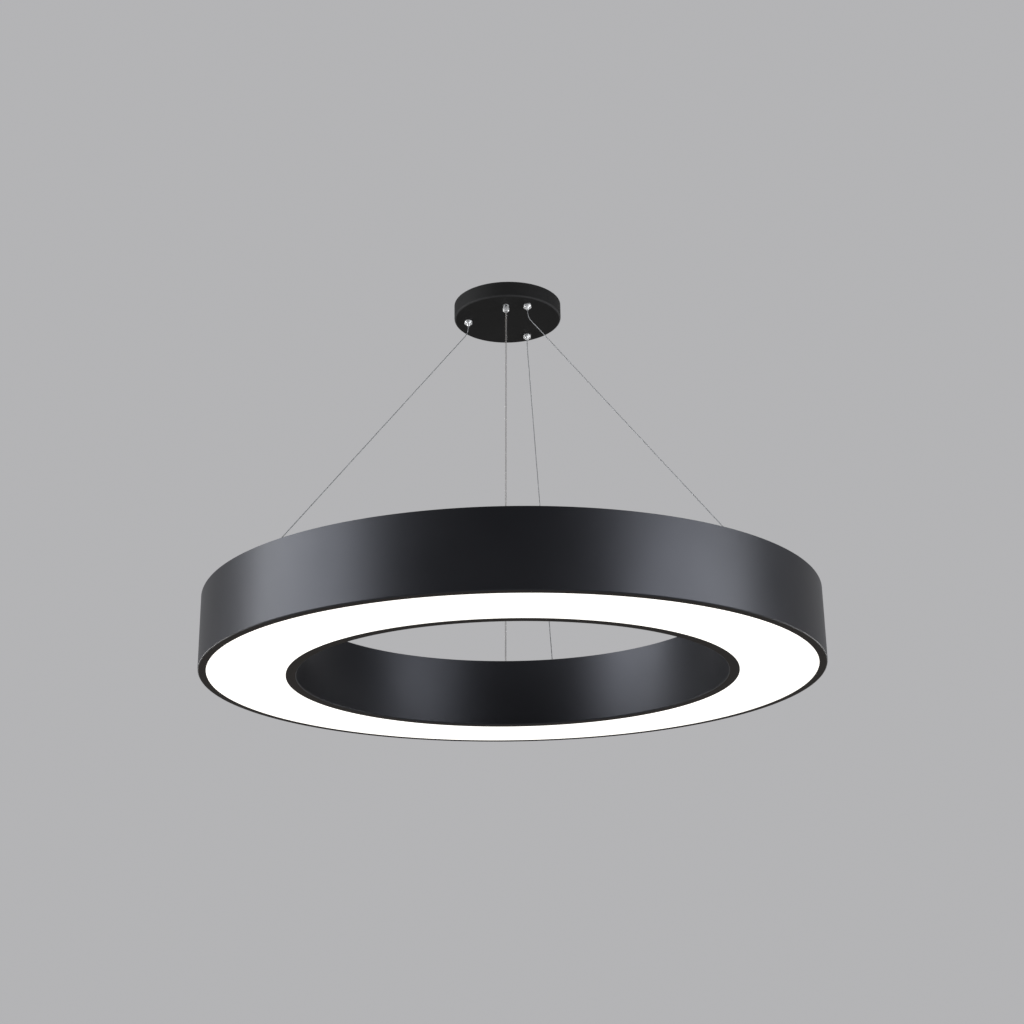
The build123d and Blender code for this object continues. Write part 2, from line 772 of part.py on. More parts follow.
# Two leads from the ring's terminal down through the tray to the feed connector
tray_lead_level = rib_under + ring_block_height / 2
lead_reach = feed_y - grommet_y - ring_block_width / 2
with BuildPart() as tray_leads:
    for lead_x in (feed_x - tray_lead_spacing / 2, feed_x + tray_lead_spacing / 2):
        with BuildLine() as lead_line:
            FilletPolyline(
                (lead_x, grommet_y + ring_block_width / 2, tray_lead_level),
                (lead_x, feed_y, tray_lead_level),
                (lead_x, feed_y, board_under),
                radius=lead_reach / 2,
            )
        with BuildSketch(Plane(lead_line.line @ 0, z_dir=lead_line.line % 0)):
            Circle(lead_diameter / 2)
        sweep(path=lead_line.wire())
tray_leads.part.label = "tray_leads"
export_step(tray_leads.part, "parts/tray_leads.step")

# Hangers: a flanged barrel on the plate, its stud, nut and backing plate under it
for side, angle in hanger_angles.items():
    hang_x, hang_y = on_circle(hanger_circle, angle)
    with BuildPart() as hanger:
        with BuildSketch(upright(hang_x, hang_y)):
            with BuildLine():
                Polyline(
                    (ball_radius + hole_gap, ring_top - hanger_stud_length),
                    (hanger_stud_radius, ring_top - hanger_stud_length),
                    (hanger_stud_radius, ring_top),
                    (hanger_base_radius, ring_top),
                    (hanger_base_radius, ring_top + hanger_base_height),
                    (hanger_radius, ring_top + hanger_base_height),
                    (hanger_radius, hanger_mouth - hanger_chamfer),
                    (hanger_radius - hanger_chamfer, hanger_mouth),
                    (wire_bore, hanger_mouth),
                    (wire_bore, ball_level + ball_radius + thread_gap),
                    (ball_radius + hole_gap, ball_level + ball_radius + thread_gap),
                    close=True,
                )
            make_face()
        revolve(axis=Axis((hang_x, hang_y, 0), (0, 0, 1)))
    hanger.part.label = f"hanger_{side}"
    export_step(hanger.part, f"parts/hanger_{side}.step")

with BuildPart() as wire_end_balls:
    for angle in hanger_angles.values():
        hang_x, hang_y = on_circle(hanger_circle, angle)
        with Locations((hang_x, hang_y, ball_level)):
            Sphere(ball_radius)
            Cylinder(wire_radius + thread_gap, 2 * ball_radius, mode=Mode.SUBTRACT)
wire_end_balls.part.label = "wire_end_balls"
export_step(wire_end_balls.part, "parts/wire_end_balls.step")

with BuildPart() as hanger_backings:
    with BuildSketch(Plane.XY.offset(plate_under)):
        for angle in hanger_angles.values():
            with PolarLocations(hanger_circle, 1, start_angle=angle):
                Rectangle(backing_width, backing_length)
                Circle(hanger_stud_radius + hole_gap, mode=Mode.SUBTRACT)
    extrude(amount=-backing_sheet)
hanger_backings.part.label = "hanger_backings"
export_step(hanger_backings.part, "parts/hanger_backings.step")

with BuildPart() as hanger_nuts:
    with BuildSketch(Plane.XY.offset(plate_under - backing_sheet)):
        for angle in hanger_angles.values():
            with PolarLocations(hanger_circle, 1, start_angle=angle):
                RegularPolygon(hanger_nut_flats / 2, 6, major_radius=False)
                Circle(hanger_stud_radius + thread_gap, mode=Mode.SUBTRACT)
    extrude(amount=-hanger_nut_height)
hanger_nuts.part.label = "hanger_nuts"
export_step(hanger_nuts.part, "parts/hanger_nuts.step")

with BuildPart() as cord_grommet:
    with BuildSketch(upright(grommet_x, grommet_y)):
        with BuildLine():
            Polyline(
                (cord_bore, plate_under - grommet_wall),
                (grommet_neck_radius + hole_gap + grommet_wall, plate_under - grommet_wall),
                (grommet_neck_radius + hole_gap + grommet_wall, plate_under),
                (grommet_neck_radius, plate_under),
                (grommet_neck_radius, ring_top),
                (grommet_radius, ring_top),
                (grommet_radius, ring_top + grommet_collar_height),
                (cord_bore + grommet_wall, ring_top + grommet_height),
                (cord_bore, ring_top + grommet_height),
                close=True,
            )
        make_face()
    revolve(axis=Axis((grommet_x, grommet_y, 0), (0, 0, 1)))
cord_grommet.part.label = "cord_grommet"
export_step(cord_grommet.part, "parts/cord_grommet.step")

# Opal diffuser: its rebated edges lie on tape on the lips, its face fills the opening
diffuser_outer = outer_face - diffuser_edge_gap
diffuser_inner = inner_face + diffuser_edge_gap
opening_outer = ring_radius - outer_lip
opening_inner = bore_radius + inner_lip
with BuildPart() as diffuser:
    with BuildSketch(Plane.XY.offset(tape_top)):
        flat_ring(diffuser_outer, diffuser_inner)
    extrude(amount=diffuser_sheet)
    with BuildSketch(Plane.XY.offset(tape_top)):
        flat_ring(opening_outer - diffuser_step_gap, opening_inner + diffuser_step_gap)
    extrude(amount=-diffuser_step)
diffuser.part.label = "diffuser"
export_step(diffuser.part, "parts/diffuser.step")

with BuildPart() as diffuser_tape:
    with BuildSketch(Plane.XY.offset(lip_top)):
        flat_ring(diffuser_outer - tape_inset, opening_outer + diffuser_step_gap)
    extrude(amount=tape_height)
    with BuildSketch(Plane.XY.offset(lip_top)):
        flat_ring(opening_inner - diffuser_step_gap, diffuser_inner + tape_inset)
    extrude(amount=tape_height)
diffuser_tape.part.label = "diffuser_tape"
export_step(diffuser_tape.part, "parts/diffuser_tape.step")

# Spring clips on both walls that press the diffuser onto its tape
with BuildPart() as diffuser_clips:
    with BuildSketch(Plane.XY.offset(diffuser_top)):
        with PolarLocations(outer_face, clip_count):
            Rectangle(2 * clip_foot, clip_width)
        with PolarLocations(inner_face, clip_count):
            Rectangle(2 * clip_foot, clip_width)
        Circle(outer_face - hole_gap, mode=Mode.INTERSECT)
        Circle(inner_face + hole_gap, mode=Mode.SUBTRACT)
    extrude(amount=clip_height)
    with BuildSketch(Plane.XY.offset(diffuser_top + clip_sheet)):
        flat_ring(outer_face - hole_gap - clip_sheet, inner_face + hole_gap + clip_sheet)
    extrude(amount=clip_height, mode=Mode.SUBTRACT)
diffuser_clips.part.label = "diffuser_clips"
export_step(diffuser_clips.part, "parts/diffuser_clips.step")
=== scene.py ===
from math import cos, pi, radians, sin

import bmesh
import bpy
from mathutils import Matrix, Vector


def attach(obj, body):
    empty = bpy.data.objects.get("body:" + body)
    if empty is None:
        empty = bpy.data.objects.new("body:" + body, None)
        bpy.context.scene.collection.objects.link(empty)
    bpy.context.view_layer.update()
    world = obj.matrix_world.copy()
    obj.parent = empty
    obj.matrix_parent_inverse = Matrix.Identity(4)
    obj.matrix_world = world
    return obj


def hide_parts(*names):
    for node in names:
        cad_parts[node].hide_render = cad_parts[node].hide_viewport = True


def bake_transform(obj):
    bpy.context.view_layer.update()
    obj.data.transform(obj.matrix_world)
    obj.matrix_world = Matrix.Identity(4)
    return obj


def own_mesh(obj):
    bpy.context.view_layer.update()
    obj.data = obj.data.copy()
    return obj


# LED ring pendant: a black ring body on three steel wires and a cord under a round canopy.
# Metres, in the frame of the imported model: z = 0 is the ceiling, -Y faces the viewer.

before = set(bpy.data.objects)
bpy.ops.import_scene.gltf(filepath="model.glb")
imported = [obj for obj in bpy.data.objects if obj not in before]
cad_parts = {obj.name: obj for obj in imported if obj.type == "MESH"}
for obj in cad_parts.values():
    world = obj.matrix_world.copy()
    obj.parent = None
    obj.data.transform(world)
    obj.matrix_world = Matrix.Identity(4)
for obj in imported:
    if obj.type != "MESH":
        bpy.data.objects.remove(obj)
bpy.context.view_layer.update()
scene = bpy.context.scene
scene.view_settings.view_transform = "Standard"
print("frame loaded:", len(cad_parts), "nodes")
samePlace = 1e-6  # points nearer than this are one point


def onCircle(radius, angle):
    return radius * cos(radians(angle)), radius * sin(radians(angle))


def deselectAll():
    if bpy.context.object and bpy.context.object.mode == "EDIT":
        bpy.ops.object.mode_set(mode="OBJECT")
    for thing in bpy.context.selected_objects:
        thing.select_set(False)


def pick(*things):
    deselectAll()
    for thing in things:
        thing.select_set(True)
    bpy.context.view_layer.objects.active = things[0]


# camera, fitted to the photograph
cameraLook = {
    "place": (-0.00232, -2.06192, -1.03277),
    "lens": 57.54,
    "sensor": 36.0,
    "pitch": 19.4426,
    "yaw": -0.12356,
    "roll": -0.86307,
    "clipStart": 0.05,
}

deselectAll()
bpy.ops.object.camera_add(location=cameraLook["place"])
camera = bpy.context.object
camera.name = "photoCamera"
camera.data.lens = cameraLook["lens"]
camera.data.sensor_width = cameraLook["sensor"]
camera.rotation_mode = "QUATERNION"
camera.rotation_quaternion = (
    Matrix.Rotation(radians(cameraLook["yaw"]), 3, "Z")
    @ Matrix.Rotation(radians(90 + cameraLook["pitch"]), 3, "X")
    @ Matrix.Rotation(radians(cameraLook["roll"]), 3, "Z")
).to_quaternion()
camera.data.clip_start = cameraLook["clipStart"]
scene.camera = camera
print("camera set")


# suspension wires and supply cord
cordRoute = {
    "gripperCircle": 0.0546,
    "gripperAngles": {"left": 180.0, "right": -60.0, "far": 60.0},
    "hangerCircle": 0.347,
    "hangerAngles": {"left": -160.0, "right": -40.0, "far": 80.0},
    "tail": 0.022,
    "wireTop": -0.0073,
    "wireGuide": -0.020,
    "wireExit": -0.022,
    "wireLeaves": -0.040,
    "wireArrives": -0.423,
    "wireEnds": -0.435,
    "gland": (-0.002, -0.047),
    "grommet": (-0.010, 0.318),
    "cordStart": (-0.002, -0.020, -0.0073),
    "cordTop": -0.0073,
    "cordExit": -0.018,
    "cordLeaves": -0.0384,
    "cordArrives": -0.425,
    "cordEnds": -0.4682,
    "smoothness": 16,
    "straight": 0.002,
}
wireLook = {
    "slot": "wire_steel",
    "stiffness": "stiff",
    "diameter": 0.0012,
    "length": 0.5475,
    "sides": 12,
    "lay": 0.0075,
    "firstBend": 0.020,
    "lastBend": 0.0072,
}
feedLook = {
    "slot": "cord_jacket",
    "stiffness": "medium",
    "diameter": 0.0024,
    "length": 0.6289,
    "sides": 20,
    "lay": 0.022,
    "firstBend": 0.0144,
    "lastBend": 0.0144,
}


def spotsAt(radius, angles):
    return {side: onCircle(radius, angle) for side, angle in angles.items()}


grips = spotsAt(cordRoute["gripperCircle"], cordRoute["gripperAngles"])
hangers = spotsAt(cordRoute["hangerCircle"], cordRoute["hangerAngles"])


def routeLine(name, corners, look):
    # a smooth line through the route, with one more point near each end of its straight run
    start, end = Vector(corners[-3]), Vector(corners[-2])
    along = (end - start).normalized()
    bends = [start + along * look["firstBend"], end - along * look["lastBend"]]
    points = [*corners[:-2], *bends, *corners[-2:]]
    curve = bpy.data.curves.new(name + "Route", "CURVE")
    curve.dimensions = "3D"
    spline = curve.splines.new("NURBS")
    spline.points.add(len(points) - 1)
    for point, place in zip(spline.points, points):
        point.co = (*place, 1)
    spline.order_u = 3
    spline.use_endpoint_u = True
    spline.resolution_u = cordRoute["smoothness"]
    route = bpy.data.objects.new(name + "Route", curve)
    scene.collection.objects.link(route)
    bpy.context.view_layer.update()
    graph = bpy.context.evaluated_depsgraph_get()
    mesh = bpy.data.meshes.new_from_object(route.evaluated_get(graph))
    line = [vertex.co.copy() for vertex in mesh.vertices]
    bpy.data.objects.remove(route)
    bpy.data.meshes.remove(mesh)
    # points within a straight stretch go, so that the stretch stays straight at every pose
    kept = [line[0]]
    for here, after in zip(line[1:], line[2:]):
        before = here - kept[-1]
        if before.length > samePlace and before.angle(after - here) > cordRoute["straight"]:
            kept.append(here)
    return [*kept, line[-1]]


def makeTube(name, line, look):
    curve = bpy.data.curves.new(name, "CURVE")
    curve.dimensions = "3D"
    spline = curve.splines.new("POLY")
    spline.points.add(len(line) - 1)
    for point, place in zip(spline.points, line):
        point.co = (*place, 1)
    curve.bevel_depth = look["diameter"] / 2
    curve.bevel_resolution = look["sides"] // 2 - 2
    curve.use_fill_caps = True
    tube = bpy.data.objects.new(name, curve)
    scene.collection.objects.link(tube)
    pick(tube)
    bpy.ops.object.convert(target="MESH")
    tube = bpy.context.object
    tube.name = name
    mesh = tube.data
    sides = len(mesh.vertices) // len(line)
    reach = [0.0]
    for before, after in zip(line, line[1:]):
        reach.append(reach[-1] + (after - before).length)
    strand = mesh.uv_layers.new(name="strand")  # u is metres along the line, v is once round it
    for face in mesh.polygons:
        corners = list(face.loop_indices)
        places = [mesh.loops[corner].vertex_index % sides for corner in corners]
        wraps = 0 in places and sides - 1 in places
        for corner, place in zip(corners, places):
            ring = min(mesh.loops[corner].vertex_index // sides, len(line) - 1)
            around = sides if wraps and place == 0 else place
            strand.data[corner].uv = (reach[ring], around / sides)
    mesh.uv_layers.active = strand
    bpy.ops.object.shade_smooth_by_angle(angle=radians(50))
    return tube


cords = []


def layCord(name, node, corners, look):
    line = routeLine(name, corners, look)
    cord = makeTube(name, line, look)
    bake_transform(cord)
    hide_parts(node)
    cords.append((cord, look["slot"]))


for side, upper in grips.items():
    lower = hangers[side]
    tail = onCircle(cordRoute["tail"], cordRoute["gripperAngles"][side] - 90)
    corners = [
        (upper[0] + tail[0], upper[1] + tail[1], cordRoute["wireTop"]),
        (*upper, cordRoute["wireTop"]),
        (*upper, cordRoute["wireGuide"]),
        (*upper, cordRoute["wireLeaves"]),
        (*lower, cordRoute["wireArrives"]),
        (*lower, cordRoute["wireEnds"]),
    ]
    layCord(f"suspensionWire_{side}", f"suspension_wire_{side}", corners, wireLook)

corners = [
    cordRoute["cordStart"],
    (*cordRoute["gland"], cordRoute["cordTop"]),
    (*cordRoute["gland"], cordRoute["cordLeaves"]),
    (*cordRoute["grommet"], cordRoute["cordArrives"]),
    (*cordRoute["grommet"], cordRoute["cordEnds"]),
]
layCord("powerCord", "power_cord", corners, feedLook)
print("wires and cord made:", len(cords))


# shared shader groups: they give colours and heights, each material keeps its own shader
def newGroup(name, inputs, outputs):
    group = bpy.data.node_groups.new(name, "ShaderNodeTree")
    for label, kind, value in inputs:
        socket = group.interface.new_socket(label, in_out="INPUT", socket_type="NodeSocket" + kind)
        if value is not None:
            socket.default_value = value
    for label, kind in outputs:
        group.interface.new_socket(label, in_out="OUTPUT", socket_type="NodeSocket" + kind)
    return group, group.nodes.new("NodeGroupInput"), group.nodes.new("NodeGroupOutput")


def feed(tree, socket, value):
    # a socket takes another node's output or a fixed value
    if isinstance(value, bpy.types.NodeSocket):
        tree.links.new(value, socket)
    else:
        socket.default_value = value


def addNode(tree, kind, settings=None, *inOrder, **byLabel):
    # fills the first sockets in order, and the labelled ones with _ for a space
    node = tree.nodes.new("ShaderNode" + kind)
    for key, value in (settings or {}).items():
        setattr(node, key, value)
    for socket, value in zip(node.inputs, inOrder):
        feed(tree, socket, value)
    for label, value in byLabel.items():
        feed(tree, node.inputs[label.replace("_", " ")], value)
    return node


def maths(tree, way, *values):
    return addNode(tree, "Math", {"operation": way}, *values).outputs[0]


def spread(tree, value, low, high, first=0.0, last=1.0, way="LINEAR"):
    # what runs from low to high comes out as first to last
    return addNode(tree, "MapRange", {"interpolation_type": way}, value, low, high, first, last).outputs[0]


def noise(tree, place, scale, detail, rough=0.5):
    return addNode(tree, "TexNoise", Vector=place, Scale=scale, Detail=detail, Roughness=rough).outputs[0]


def mixColour(tree, share, first, second):
    node = addNode(tree, "Mix", {"data_type": "RGBA"})  # its colours are sockets 6 and 7
    for number, value in ((0, share), (6, first), (7, second)):
        feed(tree, node.inputs[number], value)
    return node.outputs[2]


def putOut(group, made, **results):
    for label, result in results.items():
        group.links.new(result, made.inputs[label])
def buildGrain():
    # broad clouds of tone over a fine, even grain
    group, given, made = newGroup(
        "surfaceGrain",
        [
            ("Place", "Vector", None),
            ("Colour", "Color", (0.5, 0.5, 0.5, 1)),
            ("Second Colour", "Color", (0.4, 0.4, 0.4, 1)),
            ("Cloud Scale", "Float", 12.0),
            ("Cloud Share", "Float", 0.5),
            ("Grain Scale", "Float", 900.0),
            ("Roughness Low", "Float", 0.35),
            ("Roughness High", "Float", 0.5),
        ],
        [("Colour", "Color"), ("Roughness", "Float"), ("Height", "Float")],
    )
    held = given.outputs
    clouds = spread(group, noise(group, held["Place"], held["Cloud Scale"], 4.0), 0.35, 0.65)
    grain = noise(group, held["Place"], held["Grain Scale"], 2.0, 0.6)
    share = maths(group, "MULTIPLY", clouds, held["Cloud Share"])
    colour = mixColour(group, share, held["Colour"], held["Second Colour"])
    both = maths(group, "MULTIPLY_ADD", clouds, 0.4, maths(group, "MULTIPLY_ADD", grain, 0.4, 0.1))
    rough = spread(group, both, 0.2, 0.8, held["Roughness Low"], held["Roughness High"])
    putOut(group, made, Colour=colour, Roughness=rough, Height=grain)
    return group


def buildDust():
    # a thin film of dust that lies only on faces that look up
    group, given, made = newGroup(
        "settledDust",
        [
            ("Place", "Vector", None),
            ("Facing", "Vector", None),
            ("Colour", "Color", (0.5, 0.5, 0.5, 1)),
            ("Roughness", "Float", 0.5),
            ("Dust Colour", "Color", (0.32, 0.31, 0.29, 1)),
            ("Amount", "Float", 0.25),
        ],
        [("Colour", "Color"), ("Roughness", "Float")],
    )
    held = given.outputs
    upward = addNode(group, "SeparateXYZ", None, held["Facing"]).outputs[2]
    film = spread(group, noise(group, held["Place"], 34.0, 6.0), 0.35, 0.75, 0.15, 0.8)
    specks = spread(group, noise(group, held["Place"], 1400.0, 1.0), 0.55, 0.75, 0.4, 1.0)
    lying = maths(group, "MULTIPLY", film, specks)
    settled = maths(group, "MULTIPLY", lying, spread(group, upward, 0.6, 1.0))
    share = maths(group, "MULTIPLY", settled, held["Amount"])
    colour = mixColour(group, share, held["Colour"], held["Dust Colour"])
    rough = maths(group, "MULTIPLY_ADD", share, 0.4, held["Roughness"])
    putOut(group, made, Colour=colour, Roughness=rough)
    return group


def buildTooling():
    # fine marks left by a lathe or a brush: lines along the flat of the stretched pattern
    group, given, made = newGroup(
        "toolMarks",
        [
            ("Place", "Vector", None),
            ("Stretch", "Vector", (20.0, 20.0, 4000.0)),
            ("Colour", "Color", (0.6, 0.6, 0.62, 1)),
            ("Second Colour", "Color", (0.5, 0.5, 0.52, 1)),
            ("Roughness Low", "Float", 0.15),
            ("Roughness High", "Float", 0.35),
        ],
        [("Colour", "Color"), ("Roughness", "Float"), ("Height", "Float")],
    )
    held = given.outputs
    stretched = addNode(group, "VectorMath", {"operation": "MULTIPLY"}, held["Place"], held["Stretch"])
    lines = noise(group, stretched.outputs[0], 1.0, 3.0)
    smear = noise(group, held["Place"], 160.0, 3.0)
    marks = spread(group, lines, 0.35, 0.65)
    colour = mixColour(group, marks, held["Colour"], held["Second Colour"])
    both = maths(group, "MULTIPLY_ADD", marks, 0.5, smear)
    rough = spread(group, both, 0.3, 1.1, held["Roughness Low"], held["Roughness High"])
    putOut(group, made, Colour=colour, Roughness=rough, Height=lines)
    return group


grainGroup, dustGroup, toolingGroup = buildGrain(), buildDust(), buildTooling()


# materials
def startMaterial(name):
    material = bpy.data.materials.new(name)
    material.use_nodes = True
    tree = material.node_tree
    place = addNode(tree, "TexCoord").outputs["Object"]
    return material, tree, tree.nodes["Principled BSDF"], place


def placeGrain(tree, place, look):
    return addNode(
        tree,
        "Group",
        {"node_tree": grainGroup},
        Place=place,
        Colour=(*look["colour"], 1),
        Second_Colour=(*look["second"], 1),
        Cloud_Scale=look["clouds"],
        Cloud_Share=look["share"],
        Grain_Scale=look["grain"],
        Roughness_Low=look["rough"][0],
        Roughness_High=look["rough"][1],
    ).outputs


def finishShader(tree, shader, colour, rough, height, look):
    feed(tree, shader.inputs["Base Color"], colour)
    feed(tree, shader.inputs["Roughness"], rough)
    relief = addNode(tree, "Bump", Strength=1.0, Distance=look["bump"], Height=height)
    feed(tree, shader.inputs["Normal"], relief.outputs[0])
    for label, value in look.get("shader", {}).items():
        shader.inputs[label].default_value = value


def fromAxis(tree, place):
    # a point's distance from the upright axis, and its height
    split = addNode(tree, "SeparateXYZ", None, place)
    flat = addNode(tree, "CombineXYZ", X=split.outputs[0], Y=split.outputs[1])
    reach = addNode(tree, "VectorMath", {"operation": "LENGTH"}, flat.outputs[0])
    return reach.outputs["Value"], split.outputs[2]


def paintedLightOnEdge(tree, place, colour, rough, look):
    # painted light on a round piece's lower bend or lip: its colour there is a painted highlight on the
    # canopy's bend and a painted warm glow on the ring's lip, and it gets a roughness of its own
    reach, height = fromAxis(tree, place)
    aside = spread(tree, reach, *look["reach"], last=look["share"], way="SMOOTHSTEP")
    low = spread(tree, height, *look["level"], way="SMOOTHSTEP")
    share = maths(tree, "MULTIPLY", aside, low)
    edgeLight = mixColour(tree, share, colour, (*look["colour"], 1))
    return edgeLight, spread(tree, share, 0.0, 1.0, rough, look["rough"])


def grainyMaterial(name, look):
    # paint, plastic, rubber and board: grain and clouds, with dust where it looks up
    material, tree, shader, place = startMaterial(name)
    grain = placeGrain(tree, place, look)
    colour, rough = grain["Colour"], grain["Roughness"]
    if "dust" in look:
        dust = addNode(
            tree,
            "Group",
            {"node_tree": dustGroup},
            Place=place,
            Facing=addNode(tree, "NewGeometry").outputs["Normal"],
            Colour=colour,
            Roughness=rough,
            Amount=look["dust"],
        )
        colour, rough = dust.outputs["Colour"], dust.outputs["Roughness"]
    # where a look has an edge entry, painted light goes on its lower bend or lip
    if "edge" in look:
        colour, rough = paintedLightOnEdge(tree, place, colour, rough, look["edge"])
    finishShader(tree, shader, colour, rough, grain["Height"], look)
    return material


def metalMaterial(name, look):
    # turned, drawn or brushed metal
    material, tree, shader, place = startMaterial(name)
    marks = addNode(
        tree,
        "Group",
        {"node_tree": toolingGroup},
        Place=place,
        Stretch=look["stretch"],
        Colour=(*look["colour"], 1),
        Second_Colour=(*look["second"], 1),
        Roughness_Low=look["rough"][0],
        Roughness_High=look["rough"][1],
    ).outputs
    finishShader(tree, shader, marks["Colour"], marks["Roughness"], marks["Height"], look)
    shader.inputs["Metallic"].default_value = look["metallic"]
    return material


grainyLooks = {
    "black_paint": {
        "colour": (0.0052, 0.0052, 0.0062),
        "second": (0.0064, 0.0064, 0.0074),
        "clouds": 9.0,
        "share": 0.7,
        "grain": 1300.0,
        "rough": (0.37, 0.43),
        "bump": 0.00002,
        "dust": 0.10,
        # the lip's underside: a warm brown painted glow from the diffuser, with a rougher finish
        "edge": {
            "reach": (0.1, 0.2),
            "level": (-0.53365, -0.53395),
            "colour": (0.016, 0.012, 0.008),
            "rough": 0.95,
            "share": 1.0,
        },
        # the bluish Specular Tint paints a blue cast into the highlights, standing in for bluish lamp light
        "shader": {"Specular IOR Level": 0.36, "Specular Tint": (0.84, 0.87, 1.0, 1)},
    },
    "canopy_paint": {
        "colour": (0.0075, 0.0075, 0.0078),
        "second": (0.0092, 0.0092, 0.0095),
        "clouds": 30.0,
        "share": 0.7,
        "grain": 1500.0,
        "rough": (0.66, 0.74),
        "bump": 0.00002,
        "dust": 0.10,
        # a paler band on the cup's lower bend: a painted highlight
        "edge": {
            "reach": (0.0712, 0.0726),
            "level": (-0.0190, -0.0206),
            "colour": (0.05, 0.05, 0.052),
            "rough": 0.66,
            "share": 0.42,
        },
        "shader": {"Specular IOR Level": 0.16},
    },
    "white_plastic": {
        "colour": (0.80, 0.80, 0.78),
        "second": (0.74, 0.73, 0.70),
        "clouds": 30.0,
        "share": 0.5,
        "grain": 2600.0,
        "rough": (0.38, 0.52),
        "bump": 0.00003,
    },
    "black_plastic": {
        "colour": (0.022, 0.022, 0.024),
        "second": (0.035, 0.035, 0.037),
        "clouds": 120.0,
        "share": 0.6,
        "grain": 3200.0,
        "rough": (0.45, 0.62),
        "bump": 0.00004,
        "dust": 0.2,
    },
    "lead_jacket": {
        "colour": (0.52, 0.06, 0.04),
        "second": (0.42, 0.05, 0.035),
        "clouds": 90.0,
        "share": 0.6,
        "grain": 2400.0,
        "rough": (0.32, 0.42),
        "bump": 0.00002,
    },
    "tray_white": {
        "colour": (0.84, 0.84, 0.83),
        "second": (0.78, 0.78, 0.77),
        "clouds": 14.0,
        "share": 0.5,
        "grain": 1100.0,
        "rough": (0.45, 0.58),
        "bump": 0.00004,
        "dust": 0.1,
    },
    "board_white": {
        "colour": (0.82, 0.83, 0.82),
        "second": (0.77, 0.78, 0.76),
        "clouds": 24.0,
        "share": 0.5,
        "grain": 1800.0,
        "rough": (0.30, 0.42),
        "bump": 0.00002,
    },
    "led_phosphor": {
        "colour": (0.88, 0.70, 0.18),
        "second": (0.80, 0.60, 0.13),
        "clouds": 300.0,
        "share": 0.7,
        "grain": 4200.0,
        "rough": (0.35, 0.5),
        "bump": 0.00003,
    },
    "foam_tape": {
        "colour": (0.05, 0.05, 0.05),
        "second": (0.085, 0.085, 0.085),
        "clouds": 500.0,
        "share": 0.9,
        "grain": 2000.0,
        "rough": (0.85, 0.95),
        "bump": 0.0002,
    },
}
metalLooks = {
    "bright_fitting": {
        "colour": (0.93, 0.94, 0.95),
        "second": (0.86, 0.87, 0.89),
        "metallic": 0.7,
        "stretch": (60.0, 60.0, 5200.0),
        "rough": (0.26, 0.34),
        "bump": 0.000004,
    },
    "zinc_steel": {
        "colour": (0.58, 0.59, 0.61),
        "second": (0.47, 0.48, 0.50),
        "metallic": 1.0,
        "stretch": (900.0, 70.0, 900.0),
        "rough": (0.3, 0.46),
        "bump": 0.00001,
    },
    "brass": {
        "colour": (0.75, 0.56, 0.27),
        "second": (0.66, 0.48, 0.21),
        "metallic": 1.0,
        "stretch": (90.0, 90.0, 4200.0),
        "rough": (0.2, 0.34),
        "bump": 0.000006,
    },
    "spring_steel": {
        "colour": (0.46, 0.47, 0.49),
        "second": (0.36, 0.37, 0.39),
        "metallic": 1.0,
        "stretch": (1200.0, 1200.0, 300.0),
        "rough": (0.24, 0.4),
        "bump": 0.000006,
    },
}


def strandMaterial(name, look):
    # twisted strands, drawn from the piece's own map: u is metres along, v is once round
    material, tree, shader, place = startMaterial(name)
    strand = addNode(tree, "UVMap", {"uv_map": "strand"})
    along, around = addNode(tree, "SeparateXYZ", None, strand.outputs[0]).outputs[:2]
    turned = maths(tree, "ADD", maths(tree, "MULTIPLY", along, 1 / look["lay"]), around)
    wave = maths(tree, "SINE", maths(tree, "MULTIPLY", turned, 2 * pi * look["strands"]))
    crown = spread(tree, wave, -1.0, 1.0)
    smear = noise(tree, place, look["smear"], 3.0)
    between = mixColour(tree, smear, (*look["groove"], 1), (*look["second"], 1))
    colour = mixColour(tree, crown, between, (*look["colour"], 1))
    rough = spread(tree, smear, 0.3, 0.7, *look["rough"])
    finishShader(tree, shader, colour, rough, crown, look)
    return material
strandLooks = {
    "wire_steel": {
        "colour": (0.235, 0.24, 0.25),
        "second": (0.20, 0.205, 0.215),
        "groove": (0.165, 0.17, 0.175),
        "lay": wireLook["lay"],
        "strands": 6.0,
        "smear": 900.0,
        "rough": (0.46, 0.56),
        "bump": 0.00002,
        "shader": {"Metallic": 0.35},
    },
    # a clear jacket over two twisted conductors, one tinned and one bare copper
    "cord_jacket": {
        "colour": (0.25, 0.25, 0.26),
        "second": (0.16, 0.15, 0.14),
        "groove": (0.20, 0.15, 0.115),
        "lay": feedLook["lay"],
        "strands": 1.0,
        "smear": 500.0,
        "rough": (0.22, 0.32),
        "bump": 0.00002,
        "shader": {"Coat Weight": 0.2, "Coat Roughness": 0.15, "Alpha": 0.34},
    },
}

# lit from inside, a shade deeper towards its two rims
opalLook = {
    "colour": (0.86, 0.85, 0.82),
    "second": (0.817, 0.8075, 0.779),
    "clouds": 16.0,
    "share": 0.5,
    "grain": 2400.0,
    "rough": (0.32, 0.44),
    "bump": 0.00001,
    "middle": 0.3385,
    "rimFrom": 0.0396,
    "rimTo": 0.0495,
    "lit": (1.0, 0.985, 0.955),
    "rim": (0.97, 0.94, 0.89),
    "shader": {"Emission Strength": 1.12},
}


